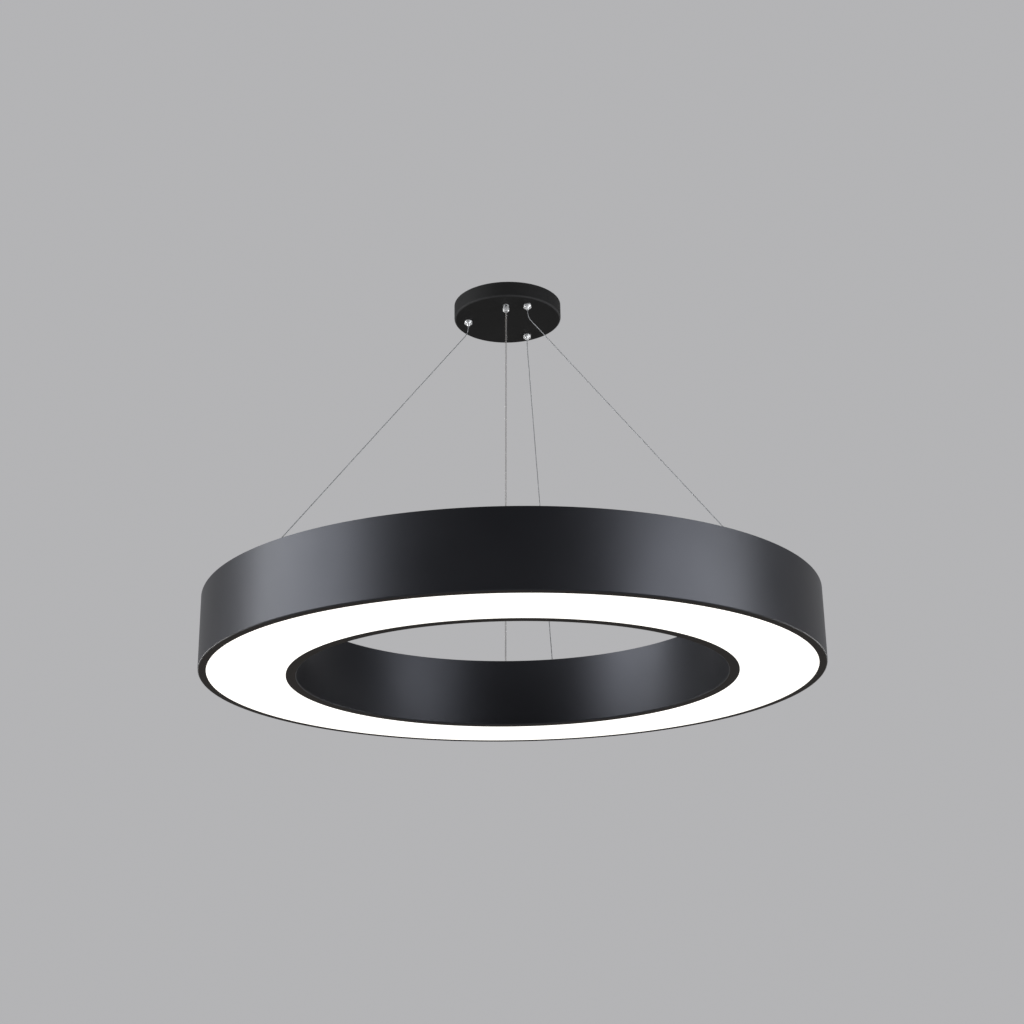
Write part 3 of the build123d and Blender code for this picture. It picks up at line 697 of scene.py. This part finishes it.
def opalMaterial(name, look):
    material, tree, shader, place = startMaterial(name)
    grain = placeGrain(tree, place, look)
    reach = fromAxis(tree, place)[0]
    aside = maths(tree, "ABSOLUTE", maths(tree, "SUBTRACT", reach, look["middle"]))
    rim = spread(tree, aside, look["rimFrom"], look["rimTo"])
    glow = mixColour(tree, rim, (*look["lit"], 1), (*look["rim"], 1))
    feed(tree, shader.inputs["Emission Color"], glow)
    finishShader(tree, shader, grain["Colour"], grain["Roughness"], grain["Height"], look)
    return material


materials = {name: grainyMaterial(name, look) for name, look in grainyLooks.items()}
materials.update({name: metalMaterial(name, look) for name, look in metalLooks.items()})
materials.update({name: strandMaterial(name, look) for name, look in strandLooks.items()})
materials["opal_acrylic"] = opalMaterial("opal_acrylic", opalLook)
print("materials made:", len(materials))


def dress(piece, slotName):
    piece.data.materials.clear()
    piece.data.materials.append(materials[slotName])


for cord, slotName in cords:
    dress(cord, slotName)


# modelling helpers
def startPoint(name, place):
    # a plane merged to one point, ready to be extruded into a profile
    deselectAll()
    bpy.ops.mesh.primitive_plane_add(size=0.01)
    piece = bpy.context.object
    piece.name = name
    piece.data.name = name
    bpy.ops.object.mode_set(mode="EDIT")
    bpy.ops.mesh.select_all(action="SELECT")
    bpy.ops.mesh.merge(type="CENTER")
    bpy.ops.transform.translate(value=place)
    return piece


def selectPoint(piece, place):
    # in edit mode, leaves only the point nearest to a place selected
    mesh = bmesh.from_edit_mesh(piece.data)
    bpy.ops.mesh.select_all(action="DESELECT")
    mesh.verts.ensure_lookup_table()
    nearest = min(mesh.verts, key=lambda point: (point.co - Vector(place)).length)
    nearest.select_set(True)
    mesh.select_flush_mode()
    bmesh.update_edit_mesh(piece.data)


def spinProfile(name, profile, centre=(0, 0), steps=64, rounded=(), closed=True):
    # extrudes a profile of (radius, height) pairs, rounds corners and spins it about an upright axis
    start = (centre[0] + profile[0][0], centre[1], profile[0][1])
    piece = startPoint(name, start)
    loop = [*profile, profile[0]] if closed else list(profile)
    for before, after in zip(loop, loop[1:]):
        move = (after[0] - before[0], 0, after[1] - before[1])
        bpy.ops.mesh.extrude_region_move(TRANSFORM_OT_translate={"value": move})
    bpy.ops.mesh.select_all(action="SELECT")
    bpy.ops.mesh.remove_doubles(threshold=samePlace)
    for number, radius, segments in rounded:
        corner = profile[number]
        selectPoint(piece, (centre[0] + corner[0], centre[1], corner[1]))
        bpy.ops.mesh.bevel(offset=radius, offset_type="OFFSET", segments=segments, affect="VERTICES")
    bpy.ops.mesh.select_all(action="SELECT")
    bpy.ops.mesh.spin(steps=steps, angle=2 * pi, center=(*centre, 0), axis=(0, 0, 1))
    bpy.ops.mesh.select_all(action="SELECT")
    bpy.ops.mesh.remove_doubles(threshold=samePlace)
    bpy.ops.mesh.normals_make_consistent(inside=False)
    bpy.ops.object.mode_set(mode="OBJECT")
    return piece


def applyModifier(piece, kind, **settings):
    pick(piece)
    modifier = piece.modifiers.new(kind.lower(), kind)
    for key, value in settings.items():
        setattr(modifier, key, value)
    bpy.ops.object.modifier_apply(modifier=modifier.name)


def roundEdges(piece, width, segments, angle):
    applyModifier(
        piece, "BEVEL", width=width, segments=segments, limit_method="ANGLE", angle_limit=radians(angle)
    )


def addCylinder(sides, radius, depth, place, turn=(0, 0, 0)):
    deselectAll()
    bpy.ops.mesh.primitive_cylinder_add(
        vertices=sides, radius=radius, depth=depth, location=place, rotation=turn
    )
    return bpy.context.object


def cutAway(piece, cutter):
    applyModifier(piece, "BOOLEAN", operation="DIFFERENCE", solver="EXACT", object=cutter)
    bpy.data.objects.remove(cutter)


def drillHoles(piece, holes, level):
    # each hole is its centre's x and y, and its radius
    for x, y, radius in holes:
        cutAway(piece, addCylinder(32, radius, 0.01, (x, y, level)))


def smoothPiece(piece, angle=42):
    pick(piece)
    bpy.ops.object.shade_smooth_by_angle(angle=radians(angle))
    applyModifier(piece, "WEIGHTED_NORMAL", keep_sharp=True, weight=100)


def turnOutwards(piece, outwards=True):
    # the uppermost face of an open shell stands upright, and shows which way the faces look
    upright = max(piece.data.polygons, key=lambda face: face.center.z)
    looksOut = Vector((upright.center.x, upright.center.y, 0)).dot(upright.normal) > 0
    if looksOut != outwards:
        pick(piece)
        bpy.ops.object.mode_set(mode="EDIT")
        bpy.ops.mesh.select_all(action="SELECT")
        bpy.ops.mesh.flip_normals()
        bpy.ops.object.mode_set(mode="OBJECT")
def join(name, pieces):
    pick(*pieces)
    bpy.ops.object.join()
    whole = bpy.context.object
    whole.name = name
    whole.data.name = name
    return whole


def settle(piece):
    # the piece's place goes into its mesh
    pick(piece)
    bpy.ops.object.transform_apply(location=True, rotation=True, scale=True)


def copyTo(piece, matrix):
    twin = piece.copy()
    twin.data = piece.data.copy()
    scene.collection.objects.link(twin)
    twin.data.transform(matrix)
    return twin

def copiesAt(model, spots):
    # a finished model goes to each spot as a piece of its own, named for the spot's side
    copies = {}
    for side, spot in spots.items():
        twin = copyTo(model, Matrix.Translation((*spot, 0)))
        twin.name = f"{model.name}_{side}"
        twin.data.name = twin.name
        copies[side] = twin
    bpy.data.objects.remove(model)
    return copies


def turnedGroove(radius, depth, start, rises):
    # the profile of a shallow groove round a barrel
    reaches = (radius, radius - depth, radius - depth, radius)
    return [(reach, start + rise) for reach, rise in zip(reaches, rises)]
def hang(piece, slotName, body, *nodes, finish=None):
    # gives the piece its finish and its body, in place of the frame's own solids
    dress(piece, finish or slotName)
    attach(piece, body)
    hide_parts(*nodes)


# ring walls: rolled sheet with a lip turned in below
wallLook = {
    "outer": 0.400,
    "inner": 0.277,
    "top": -0.439,
    "bottom": -0.534,
    "outerLip": 0.0103,
    "innerLip": 0.0135,
    "sheet": 0.0012,
    "bend": 0.0020,
    "steps": 256,
    "edge": 0.00025,
}


def makeWall(name, radius, lip):
    low = wallLook["bottom"]
    line = [(radius, wallLook["top"]), (radius, low), (radius + lip, low)]
    wall = spinProfile(
        name, line, steps=wallLook["steps"], rounded=[(1, wallLook["bend"], 6)], closed=False
    )
    # the faces look out of the ring's body, so the sheet gets its thickness on the hidden side
    turnOutwards(wall, lip < 0)
    applyModifier(wall, "SOLIDIFY", thickness=wallLook["sheet"], offset=-1.0, use_even_offset=True)
    roundEdges(wall, wallLook["edge"], 2, 60)
    smoothPiece(wall)
    return wall


outerWall = makeWall("outerWall", wallLook["outer"], -wallLook["outerLip"])
hang(outerWall, "black_paint", "ring", "outer_wall")
innerWall = makeWall("innerWall", wallLook["inner"], wallLook["innerLip"])
hang(innerWall, "black_paint", "ring", "inner_wall")
print("ring walls made")

# top plate and its screws
plateLook = {
    "outer": 0.3985,
    "inner": 0.2785,
    "top": -0.439,
    "sheet": 0.0012,
    "edge": 0.0003,
    "steps": 256,
    "screws": 12,
    "firstScrew": 15.0,
    "screwTwist": 37.0,
    "screwCircle": 0.3385,
    "head": 0.0036,
    "headHeight": 0.0020,
    "shank": 0.0020,
    "shankLength": 0.0060,
    "socket": 0.0013,
    "socketDepth": 0.0011,
    "screwEdge": 0.00012,
    "hangerHole": 0.0042,
    "grommetHole": 0.0038,
}


def makeScrew(name, look):
    # a domed head with a six-sided socket, standing on z = 0 with its shank below
    head, rise, shank, drop = look["head"], look["headHeight"], look["shank"], look["shankLength"]
    profile = [
        (0, rise),
        (0.55 * head, rise),
        (0.86 * head, 0.78 * rise),
        (head, 0.35 * rise),
        (head, 0),
        (shank, 0),
        (shank, -drop),
        (0, -drop),
    ]
    screw = spinProfile(name, profile, steps=28, closed=False)
    roundEdges(screw, look["screwEdge"], 2, 20)
    cutAway(screw, addCylinder(6, look["socket"], 2 * look["socketDepth"], (0, 0, rise)))
    settle(screw)
    return screw


def setScrews(name, look, places):
    # one screw is modelled, and its copies are joined into one piece
    screw = makeScrew(name + "Model", look)
    copies = [copyTo(screw, place) for place in places]
    bpy.data.objects.remove(screw)
    screws = join(name, copies)
    smoothPiece(screws, 35)
    return screws
topPlate = spinProfile(
    "topPlate",
    [
        (plateLook["inner"], plateLook["top"]),
        (plateLook["outer"], plateLook["top"]),
        (plateLook["outer"], plateLook["top"] - plateLook["sheet"]),
        (plateLook["inner"], plateLook["top"] - plateLook["sheet"]),
    ],
    steps=plateLook["steps"],
)
holes = [(*spot, plateLook["hangerHole"]) for spot in hangers.values()]
holes.append((*cordRoute["grommet"], plateLook["grommetHole"]))
drillHoles(topPlate, holes, plateLook["top"])
roundEdges(topPlate, plateLook["edge"], 2, 50)
smoothPiece(topPlate)
hang(topPlate, "black_paint", "ring", "top_plate")

places = []
for number in range(plateLook["screws"]):
    angle = plateLook["firstScrew"] + 360 / plateLook["screws"] * number
    spot = (*onCircle(plateLook["screwCircle"], angle), plateLook["top"])
    twist = Matrix.Rotation(radians(plateLook["screwTwist"] * number), 4, "Z")
    places.append(Matrix.Translation(spot) @ twist)
topPlateScrews = setScrews("topPlateScrews", plateLook, places)
hang(topPlateScrews, "black_paint", "ring", "top_plate_screws")
print("top plate made")

# canopy cup and its two side screws
canopyLook = {
    "radius": 0.074,
    "height": 0.022,
    "sheet": 0.0012,
    "bend": 0.0032,
    "steps": 160,
    "edge": 0.0003,
    "gripperHole": 0.0044,
    "glandHole": 0.0032,
    "screwAngles": (40.0, 140.0),
    "screwLevel": -0.005,
    "head": 0.0028,
    "headHeight": 0.0016,
    "shank": 0.0015,
    "shankLength": 0.0050,
    "socket": 0.0010,
    "socketDepth": 0.0009,
    "screwEdge": 0.00012,
}
look = canopyLook
canopyCup = spinProfile(
    "canopyCup",
    [(0, -look["height"]), (look["radius"], -look["height"]), (look["radius"], 0)],
    steps=look["steps"],
    rounded=[(1, look["bend"], 8)],
    closed=False,
)
turnOutwards(canopyCup)
applyModifier(canopyCup, "SOLIDIFY", thickness=look["sheet"], offset=-1.0, use_even_offset=True)
holes = [(*spot, look["gripperHole"]) for spot in grips.values()]
holes.append((*cordRoute["gland"], look["glandHole"]))
drillHoles(canopyCup, holes, -look["height"])
roundEdges(canopyCup, look["edge"], 2, 60)
smoothPiece(canopyCup)
hang(canopyCup, "black_paint", "canopy", "canopy_cup", finish="canopy_paint")

places = []
for angle in look["screwAngles"]:
    spot = (*onCircle(look["radius"], angle), look["screwLevel"])
    turn = Matrix.Rotation(radians(angle), 4, "Z") @ Matrix.Rotation(radians(90), 4, "Y")
    places.append(Matrix.Translation(spot) @ turn)
canopyScrews = setScrews("canopyScrews", look, places)
hang(canopyScrews, "black_paint", "canopy", "canopy_screws", finish="canopy_paint")
print("canopy made")

# wire grippers: collar and stem, and the plunger that lets the wire go
gripperLook = {
    "top": -0.022,
    "floor": -0.0265,
    "collar": 0.0053,
    "collarRound": 0.0007,
    "groove": 0.0003,
    "grooveRises": (0.0016, 0.0018, 0.0022, 0.0024),
    "stem": 0.0042,
    "stemTop": -0.0135,
    "chamber": 0.0031,
    "seatTop": -0.0195,
    "seatFloor": -0.0235,
    "seat": 0.0025,
    "bore": 0.00205,
    "edge": 0.00012,
    "steps": 48,
}
look = gripperLook
gripperBody = spinProfile(
    "gripperBody",
    [
        (look["bore"], look["floor"]),
        (look["collar"], look["floor"]),
        *turnedGroove(look["collar"], look["groove"], look["floor"], look["grooveRises"]),
        (look["collar"], look["top"]),
        (look["stem"], look["top"]),
        (look["stem"], look["stemTop"]),
        (look["chamber"], look["stemTop"]),
        (look["chamber"], look["seatTop"]),
        (look["seat"], look["seatFloor"]),
        (look["bore"], look["seatFloor"]),
    ],
    steps=look["steps"],
    rounded=[(1, look["collarRound"], 4)],
)
roundEdges(gripperBody, look["edge"], 2, 35)
smoothPiece(gripperBody)
for side, body in copiesAt(gripperBody, grips).items():
    hang(body, "bright_fitting", "canopy", f"gripper_body_{side}")

plungerLook = {
    "radius": 0.0020,
    "tip": -0.0295,
    "tipRound": 0.0005,
    "flange": 0.00235,
    "flangeFloor": -0.0234,
    "flangeTop": -0.0225,
    "bore": 0.0008,
    "edge": 0.0001,
    "steps": 36,
}
look = plungerLook
releasePlunger = spinProfile(
    "releasePlunger",
    [
        (look["bore"], look["tip"]),
        (look["radius"], look["tip"]),
        (look["radius"], look["flangeFloor"]),
        (look["flange"], look["flangeFloor"]),
        (look["flange"], look["flangeTop"]),
        (look["bore"], look["flangeTop"]),
    ],
    steps=look["steps"],
    rounded=[(1, look["tipRound"], 4)],
)
roundEdges(releasePlunger, look["edge"], 2, 50)
smoothPiece(releasePlunger)
for side, plunger in copiesAt(releasePlunger, grips).items():
    hang(plunger, "bright_fitting", f"plunger_{side}", f"release_plunger_{side}")

# the coiled spring in each gripper, which shortens as its plunger is pushed up, is made here at rest, each
# copy with a mesh of its own
springLook = {
    "diameter": 0.0004,
    "sides": 8,
    "turns": 5,
    "steps": 20,
    "radius": 0.0023,
    "floor": -0.01964,
    "ceiling": -0.01502,
    "keep": 0.505,
}
look = springLook
line = []
for step in range(look["turns"] * look["steps"] + 1):
    turn = step / look["steps"]
    rise = (look["ceiling"] - look["floor"]) * turn / look["turns"]
    line.append(Vector((*onCircle(look["radius"], 360 * turn), look["floor"] + rise)))
for side, spring in copiesAt(makeTube("gripSpring", line, look), grips).items():
    hang(spring, "spring_steel", "canopy", f"grip_spring_{side}")
    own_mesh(spring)
print("grippers made")

# cord gland with its grub screw
glandLook = {
    "radius": 0.0045,
    "neck": 0.0040,
    "stem": 0.0030,
    "top": -0.0158,
    "canopy": -0.022,
    "step": -0.0264,
    "stepChamfer": 0.0003,
    "bottom": -0.0314,
    "chamfer": 0.0012,
    "bore": 0.0014,
    "edge": 0.0002,
    "steps": 48,
    "grub": 0.0015,
    "grubGap": 0.00005,
    "grubHole": 0.006,
    "grubLevel": -0.0242,
    "grubStart": 0.00125,
    "grubLength": 0.0023,
    "grubEdge": 0.00012,
    "socket": 0.0008,
    "socketDepth": 0.001,
}
look = glandLook
gland = spinProfile(
    "cordGland",
    [
        (look["bore"], look["bottom"]),
        (look["radius"] - look["chamfer"], look["bottom"]),
        (look["radius"], look["bottom"] + look["chamfer"]),
        (look["radius"], look["step"] - look["stepChamfer"]),
        (look["radius"] - look["stepChamfer"], look["step"]),
        (look["neck"], look["step"]),
        (look["neck"], look["canopy"]),
        (look["stem"], look["canopy"]),
        (look["stem"], look["top"]),
        (look["bore"], look["top"]),
    ],
    centre=cordRoute["gland"],
    steps=look["steps"],
)


def addGrubBar(sides, radius, length, middle):
    # a bar across the gland's front, its middle at a distance from the gland's axis
    x, y = cordRoute["gland"]
    return addCylinder(sides, radius, length, (x, y - middle, glandLook["grubLevel"]), (pi / 2, 0, 0))


cutAway(gland, addGrubBar(24, look["grub"] + look["grubGap"], look["grubHole"], look["grubHole"] / 2))
roundEdges(gland, look["edge"], 3, 35)
smoothPiece(gland)
hang(gland, "bright_fitting", "canopy", "cord_gland")

grub = addGrubBar(24, look["grub"], look["grubLength"], look["grubStart"] + look["grubLength"] / 2)
grub.name = "glandGrubScrew"
grub.data.name = grub.name
settle(grub)
socket = addGrubBar(6, look["socket"], 2 * look["socketDepth"], look["grubStart"] + look["grubLength"])
cutAway(grub, socket)
roundEdges(grub, look["grubEdge"], 2, 50)
smoothPiece(grub, 35)
hang(grub, "spring_steel", "canopy", "gland_grub_screw")
print("gland made")

# wire hangers and the cord's grommet, on the top plate
hangerLook = {
    "base": 0.0070,
    "baseHeight": 0.0020,
    "barrel": 0.0048,
    "mouth": -0.426,
    "plate": -0.439,
    "chamfer": 0.0020,
    "stud": 0.0040,
    "studEnd": -0.4475,
    "bore": 0.0008,
    "ballBore": 0.0022,
    "ballTop": -0.43095,
    "groove": 0.00025,
    "grooveRises": (0.0048, 0.0050, 0.0054, 0.0056),
    "edge": 0.0002,
    "steps": 48,
}
look = hangerLook
wireHanger = spinProfile(
    "wireHanger",
    [
        (look["ballBore"], look["studEnd"]),
        (look["stud"], look["studEnd"]),
        (look["stud"], look["plate"]),
        (look["base"], look["plate"]),
        (look["base"], look["plate"] + look["baseHeight"]),
        (look["barrel"], look["plate"] + look["baseHeight"]),
        *turnedGroove(look["barrel"], look["groove"], look["plate"], look["grooveRises"]),
        (look["barrel"], look["mouth"] - look["chamfer"]),
        (look["barrel"] - look["chamfer"], look["mouth"]),
        (look["bore"], look["mouth"]),
        (look["bore"], look["ballTop"]),
        (look["ballBore"], look["ballTop"]),
    ],
    steps=look["steps"],
)
roundEdges(wireHanger, look["edge"], 3, 35)
smoothPiece(wireHanger)
for side, hanger in copiesAt(wireHanger, hangers).items():
    hang(hanger, "bright_fitting", "ring", f"hanger_{side}")

grommetLook = {
    "bore": 0.0014,
    "collar": 0.0055,
    "collarHeight": 0.0023,
    "height": 0.0070,
    "neck": 0.0036,
    "barb": 0.0050,
    "wall": 0.0012,
    "plate": -0.439,
    "plateUnder": -0.4402,
    "edge": 0.0004,
    "steps": 40,
}
look = grommetLook
grommet = spinProfile(
    "cordGrommet",
    [
        (look["bore"], look["plateUnder"] - look["wall"]),
        (look["barb"], look["plateUnder"] - look["wall"]),
        (look["barb"], look["plateUnder"]),
        (look["neck"], look["plateUnder"]),
        (look["neck"], look["plate"]),
        (look["collar"], look["plate"]),
        (look["collar"], look["plate"] + look["collarHeight"]),
        (look["bore"] + look["wall"], look["plate"] + look["height"]),
        (look["bore"], look["plate"] + look["height"]),
    ],
    centre=cordRoute["grommet"],
    steps=look["steps"],
)
roundEdges(grommet, look["edge"], 3, 30)
smoothPiece(grommet)
hang(grommet, "black_plastic", "ring", "cord_grommet")
print("hangers and grommet made")

# opal diffuser, its face let into the opening between the lips
diffuserLook = {
    "outer": 0.398,
    "inner": 0.279,
    "faceOuter": 0.3894,
    "faceInner": 0.2908,
    "top": -0.5293,
    "rebate": -0.5323,
    "face": -0.5338,
    "edge": 0.0004,
    "steps": 256,
}
look = diffuserLook
diffuser = spinProfile(
    "diffuser",
    [
        (look["inner"], look["top"]),
        (look["outer"], look["top"]),
        (look["outer"], look["rebate"]),
        (look["faceOuter"], look["rebate"]),
        (look["faceOuter"], look["face"]),
        (look["faceInner"], look["face"]),
        (look["faceInner"], look["rebate"]),
        (look["inner"], look["rebate"]),
    ],
    steps=look["steps"],
)
roundEdges(diffuser, look["edge"], 3, 50)
smoothPiece(diffuser)
hang(diffuser, "opal_acrylic", "ring", "diffuser")
print("diffuser made")

# the frame's own solids that stay get a finish of their own
nodeFinishes = {
    "zinc_steel": (
        "ceiling_plate",
        "ribs",
        "tray_screws",
        "board_screws",
        "wire_end_balls",
        "hanger_backings",
        "hanger_nuts",
    ),
    "brass": ("earth_screw", "gripper_caps", *(f"grip_jaws_{side}" for side in grips)),
    "bright_fitting": ("gripper_nuts", "gland_nut"),
    "spring_steel": ("diffuser_clips",),
    "white_plastic": ("driver", "mains_terminal", "board_links", "feed_connector", "ring_terminal"),
    "lead_jacket": ("driver_leads", "tray_leads"),
    "tray_white": ("led_tray",),
    "board_white": ("led_boards",),
    "led_phosphor": ("led_chips",),
    "foam_tape": ("diffuser_tape",),
}
for finish, names in nodeFinishes.items():
    for name in names:
        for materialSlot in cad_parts[name].material_slots:
            materialSlot.material = materials[finish]
print("frame's own solids finished:", sum(len(names) for names in nodeFinishes.values()))

# floor, backdrop and studio light
floorLook = {
    "level": -3.0,
    "size": 90.0,
    "lift": 0.22,
    "liftColour": (0.98, 0.98, 1.0),
    "colour": (0.58, 0.57, 0.55),
    "second": (0.5626, 0.5529, 0.5335),
    "clouds": 0.8,
    "share": 0.6,
    "grain": 60.0,
    "rough": (0.7, 0.8),
}
worldLook = {
    "backdrop": (0.455, 0.455, 0.465),
    "ambient": 0.25,
    "roomDimming": 0.6,
    "roomFrom": 0.0,
    "roomTo": 1.2,
}
softboxAim = (0, 0, -0.45)
coolLight = (0.97, 0.985, 1.0)
warmLight = (1.0, 0.98, 0.95)
softboxes = {
    "left": {"turn": -164, "rise": 13, "away": 3.4, "size": (2.9, 1.8), "power": 129, "tint": coolLight},
    "right": {"turn": -33, "rise": 5, "away": 1.5, "size": (1.15, 0.75), "power": 20.5, "tint": coolLight},
    "leftLow": {"turn": 154, "rise": -11, "away": 2.2, "size": (1.5, 0.2), "power": 9.5, "tint": warmLight},
    "rightLow": {"turn": 26, "rise": -11, "away": 2.2, "size": (1.5, 0.2), "power": 9.5, "tint": warmLight},
    "top": {"turn": 70, "rise": 75, "away": 3.2, "size": (2.6, 2.6), "power": 45, "tint": warmLight},
}


def seenDirectly(tree):
    # 1 for what the camera, a reflection or a clear piece shows, 0 for the light on a piece
    rays = addNode(tree, "LightPath").outputs
    seen = maths(tree, "MAXIMUM", rays["Is Camera Ray"], rays["Is Glossy Ray"])
    return rays, maths(tree, "MAXIMUM", seen, rays["Is Transmission Ray"])


deselectAll()
bpy.ops.mesh.primitive_plane_add(size=floorLook["size"], location=(0, 0, floorLook["level"]))
floor = bpy.context.object
floor.name = "floor"
floorMaterial, tree, shader, place = startMaterial("floorPaint")
grain = placeGrain(tree, place, floorLook)
feed(tree, shader.inputs["Base Color"], grain["Colour"])
feed(tree, shader.inputs["Roughness"], grain["Roughness"])
rays, direct = seenDirectly(tree)
shader.inputs["Emission Color"].default_value = (*floorLook["liftColour"], 1)
feed(tree, shader.inputs["Emission Strength"], spread(tree, direct, 0.0, 1.0, 0.0, floorLook["lift"]))
floor.data.materials.append(floorMaterial)

world = bpy.data.worlds.new("studioWorld")
scene.world = world
world.use_nodes = True
tree = world.node_tree
tree.nodes.clear()
rays, direct = seenDirectly(tree)
ambient = addNode(tree, "Background", None, (1, 1, 1, 1), worldLook["ambient"])
# reflections show a dimmer room in front of the lamp than the pale backdrop behind it
back = addNode(tree, "SeparateXYZ", None, addNode(tree, "TexCoord").outputs["Generated"]).outputs[1]
dimming = spread(tree, back, worldLook["roomFrom"], worldLook["roomTo"], worldLook["roomDimming"], 0.0)
level = maths(tree, "SUBTRACT", 1.0, maths(tree, "MULTIPLY", dimming, rays["Is Glossy Ray"]))
backdrop = addNode(tree, "Background", None, (*worldLook["backdrop"], 1), level)
either = addNode(tree, "MixShader", None, direct, ambient.outputs[0], backdrop.outputs[0])
addNode(tree, "OutputWorld", None, either.outputs[0])


def addSoftbox(name, look):
    rise = radians(look["rise"])
    away = Vector((*onCircle(cos(rise), look["turn"]), sin(rise)))
    deselectAll()
    bpy.ops.object.light_add(type="AREA", location=Vector(softboxAim) + away * look["away"])
    box = bpy.context.object
    box.name = name
    box.rotation_mode = "QUATERNION"
    box.rotation_quaternion = away.to_track_quat("Z", "Y")
    box.data.shape = "RECTANGLE"
    box.data.size, box.data.size_y = look["size"]
    box.data.energy = look["power"]
    box.data.color = look["tint"]
    box.visible_camera = False


for name, look in softboxes.items():
    addSoftbox(name + "Softbox", look)
print("studio made")

bpy.context.view_layer.update()
